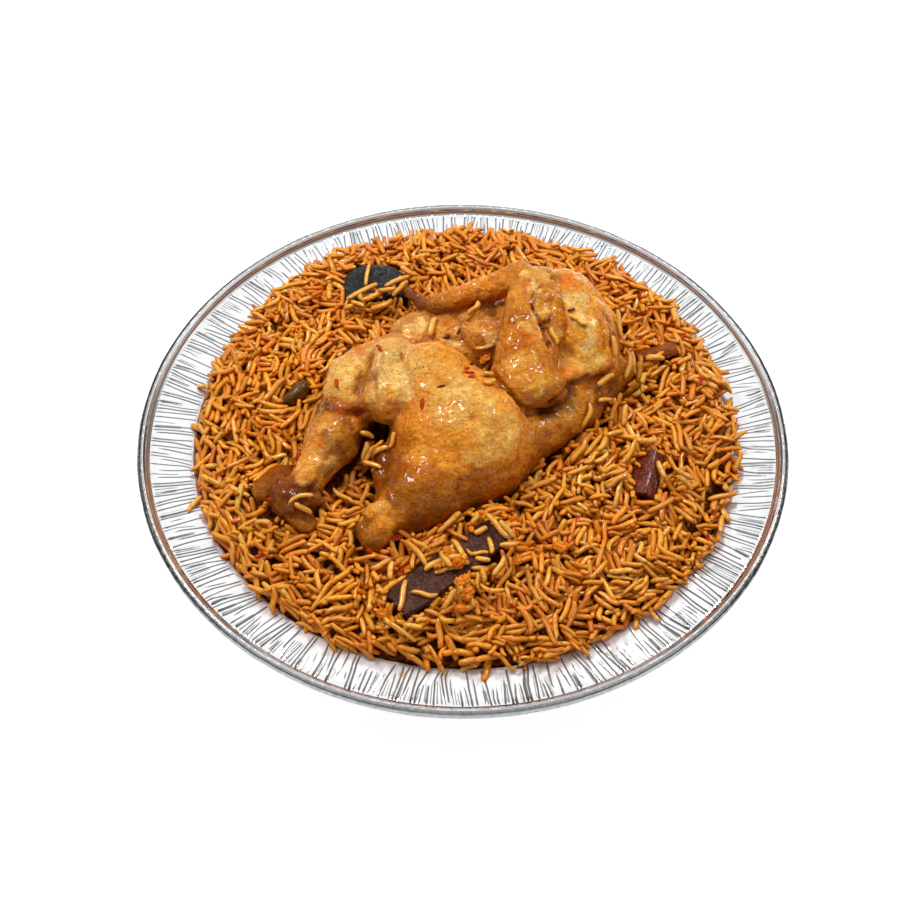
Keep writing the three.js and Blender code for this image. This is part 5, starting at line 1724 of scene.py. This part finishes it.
def mesh_piece(name, points, faces):
    """A piece from points in millimetres and faces of three corners."""
    mesh = bpy.data.meshes.new(name)
    mesh.vertices.add(len(points))
    mesh.vertices.foreach_set("co", (points * MM).astype(np.float32).ravel())
    mesh.loops.add(faces.size)
    mesh.loops.foreach_set("vertex_index", faces.astype(np.int32).ravel())
    mesh.polygons.add(len(faces))
    mesh.polygons.foreach_set("loop_start", np.arange(0, faces.size, 3, dtype=np.int32))
    mesh.update(calc_edges=True)
    mesh.validate()
    piece = bpy.data.objects.new(name, mesh)
    bpy.context.collection.objects.link(piece)
    return piece


def add_chart(piece, count):
    """A bake chart in which each grain has a small square of its own."""
    side = math.ceil(math.sqrt(count))
    spot = np.arange(count)
    corner = np.stack([spot % side, spot // side], 1)[:, None, :]
    chart = (corner + 0.06 + 0.88 * GRAIN_CHART[None]) / side
    piece.data.uv_layers.new(name="OFBake").data.foreach_set("uv", chart.astype(np.float32).ravel())


def grain_piece(name, laid, rng, tones=None):
    points, own = grain_copies(laid, rng)
    count = len(laid)
    faces = GRAIN_FACES[None] + np.arange(count)[:, None, None] * len(GRAIN_POINTS)
    piece = mesh_piece(name, points.reshape(-1, 3), faces.reshape(-1, 3))
    add_chart(piece, count)
    tones = grain_tones(count, rng) if tones is None else tones
    x, y, depth = np.array(laid)[:, [0, 1, 7]].T
    # Painted shade: grains that lie deeper in the heap are darker.
    depth = np.clip((heap_height(x, y) - 1.5 - depth) / 6, 0, 1)[:, None]
    tones = tones * (1 - depth * (0.4, 0.55, 0.7))
    # Painted light and shade: each grain is lighter along its top, with the ridge highlight colour there,
    # and darker on its lower sides.
    up = np.clip(2 * GRAIN_POINTS[None, :, 2:3], -1, 1)
    share = rng.uniform(0.2, 0.85, (count, 1, 1)) * np.clip(up, 0, 1) ** 2.5
    sides = np.array([0.7, 0.58, 0.35]) + up * np.array([0.3, 0.42, 0.65])
    shaded = tones[:, None] * sides * (1 - share) + np.array(tone(*RIDGE_HIGHLIGHT)) * share
    wet = np.clip(up.repeat(count, 0).reshape(-1) * 1.6, 0, 1)
    add_tones(piece, shaded.reshape(-1, 3), wet)
    own = own + rng.uniform(0, 400, (count, 1, 3))
    layer = piece.data.attributes.new("grain_spot", "FLOAT_VECTOR", "POINT")
    layer.data.foreach_set("vector", own.astype(np.float32).ravel())
    return piece


print(sum(share for _, share in GRAIN_TONES), "of the grains have a tone")

# %% [markdown]
# Cooked rice is translucent and wet. The finish draws faint pale streaks along each grain, deepens
# its colour where the sauce dried, lets some light into it and coats it with a thin gloss.

# %% Rice finishes
def rice_finish():
    rice = Finish("spiced_rice")
    base = rice.attribute("tone")
    spot = rice.attribute("grain_spot", "Vector")
    streaks = rice.clouds(0.8, rice.moved(spot, Scale=(0.00022, 0.001, 0.001)), detail=3)
    patches = rice.clouds(2.2, rice.moved(spot, Scale=(0.001,) * 3), detail=3)
    colour = rice.mixed(streaks.above(0.54, 0.68) * 0.35, base, tone(252, 190, 66))
    colour = rice.mixed(patches.above(0.5, 0.64) * 0.55, colour, tone(212, 104, 0))
    sauce = rice.clouds(26, detail=3, shift=2).above(0.48, 0.62)
    colour = rice.mixed(sauce * 0.3, colour, tone(210, 98, 0))
    specks = (1 - rice.cells(5.2).above(0.045, 0.06)) * rice.clouds(12, shift=7).above(0.48, 0.52)
    colour = rice.mixed(specks * 0.85, colour, tone(40, 22, 10))
    normal = rice.bump(streaks, 0.25, rice.bump(rice.clouds(1.6, detail=2), 0.18))
    film = rice.clouds(2.2, detail=2, shift=15).above(0.4, 0.5) * rice.attribute("tone", "Alpha")
    return rice.done(Base_Color=colour, Roughness=0.32 + patches * 0.2, Normal=normal,
                     Specular_IOR_Level=0.3, Specular_Tint=(1.0, 0.75, 0.3),
                     Coat_Weight=film, Coat_IOR=1.48, Coat_Roughness=0.07,
                     Subsurface_Weight=0.12, Subsurface_Radius=(1.0, 0.45, 0.06), Subsurface_Scale=0.0012)


def shaded_bed_finish():
    dark = Finish("dense_rice_shade")
    mottle = dark.clouds(2.6, detail=4)
    # Painted shade: the bed is dark orange, as the gaps between the grains.
    colour = dark.mixed(mottle.above(0.4, 0.65), tone(74, 28, 3), tone(140, 68, 10))
    return dark.done(Base_Color=colour, Roughness=0.6 + mottle * 0.2, Specular_IOR_Level=0.1,
                     Normal=dark.bump(mottle, 0.8))


def sector_of(grain):
    """Which sixth of the heap a grain is in, counted from the right."""
    return int((math.atan2(grain[1], grain[0]) % (2 * math.pi)) / (math.pi / 3))


rice = rice_finish()
rng = np.random.default_rng(77)
SECTORS = ("right", "back_right", "back_left", "left", "front_left", "front_right")
for sector, name in enumerate(SECTORS):
    inside = [grain for grain in grains if sector_of(grain) == sector]
    dress(grain_piece("grains_" + name, inside, rng), rice)
pale = rng.uniform(0.2, 1, (len(hand_laid), 1))
loose_tones = np.array(tone(*PALE)) * pale + np.array(tone(*AMBER)) * (1 - pale)
topping = grain_piece("grains_on_top", hand_laid, rng, loose_tones)
dress(topping, rice)
dress(bed, shaded_bed_finish())
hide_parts("rice")
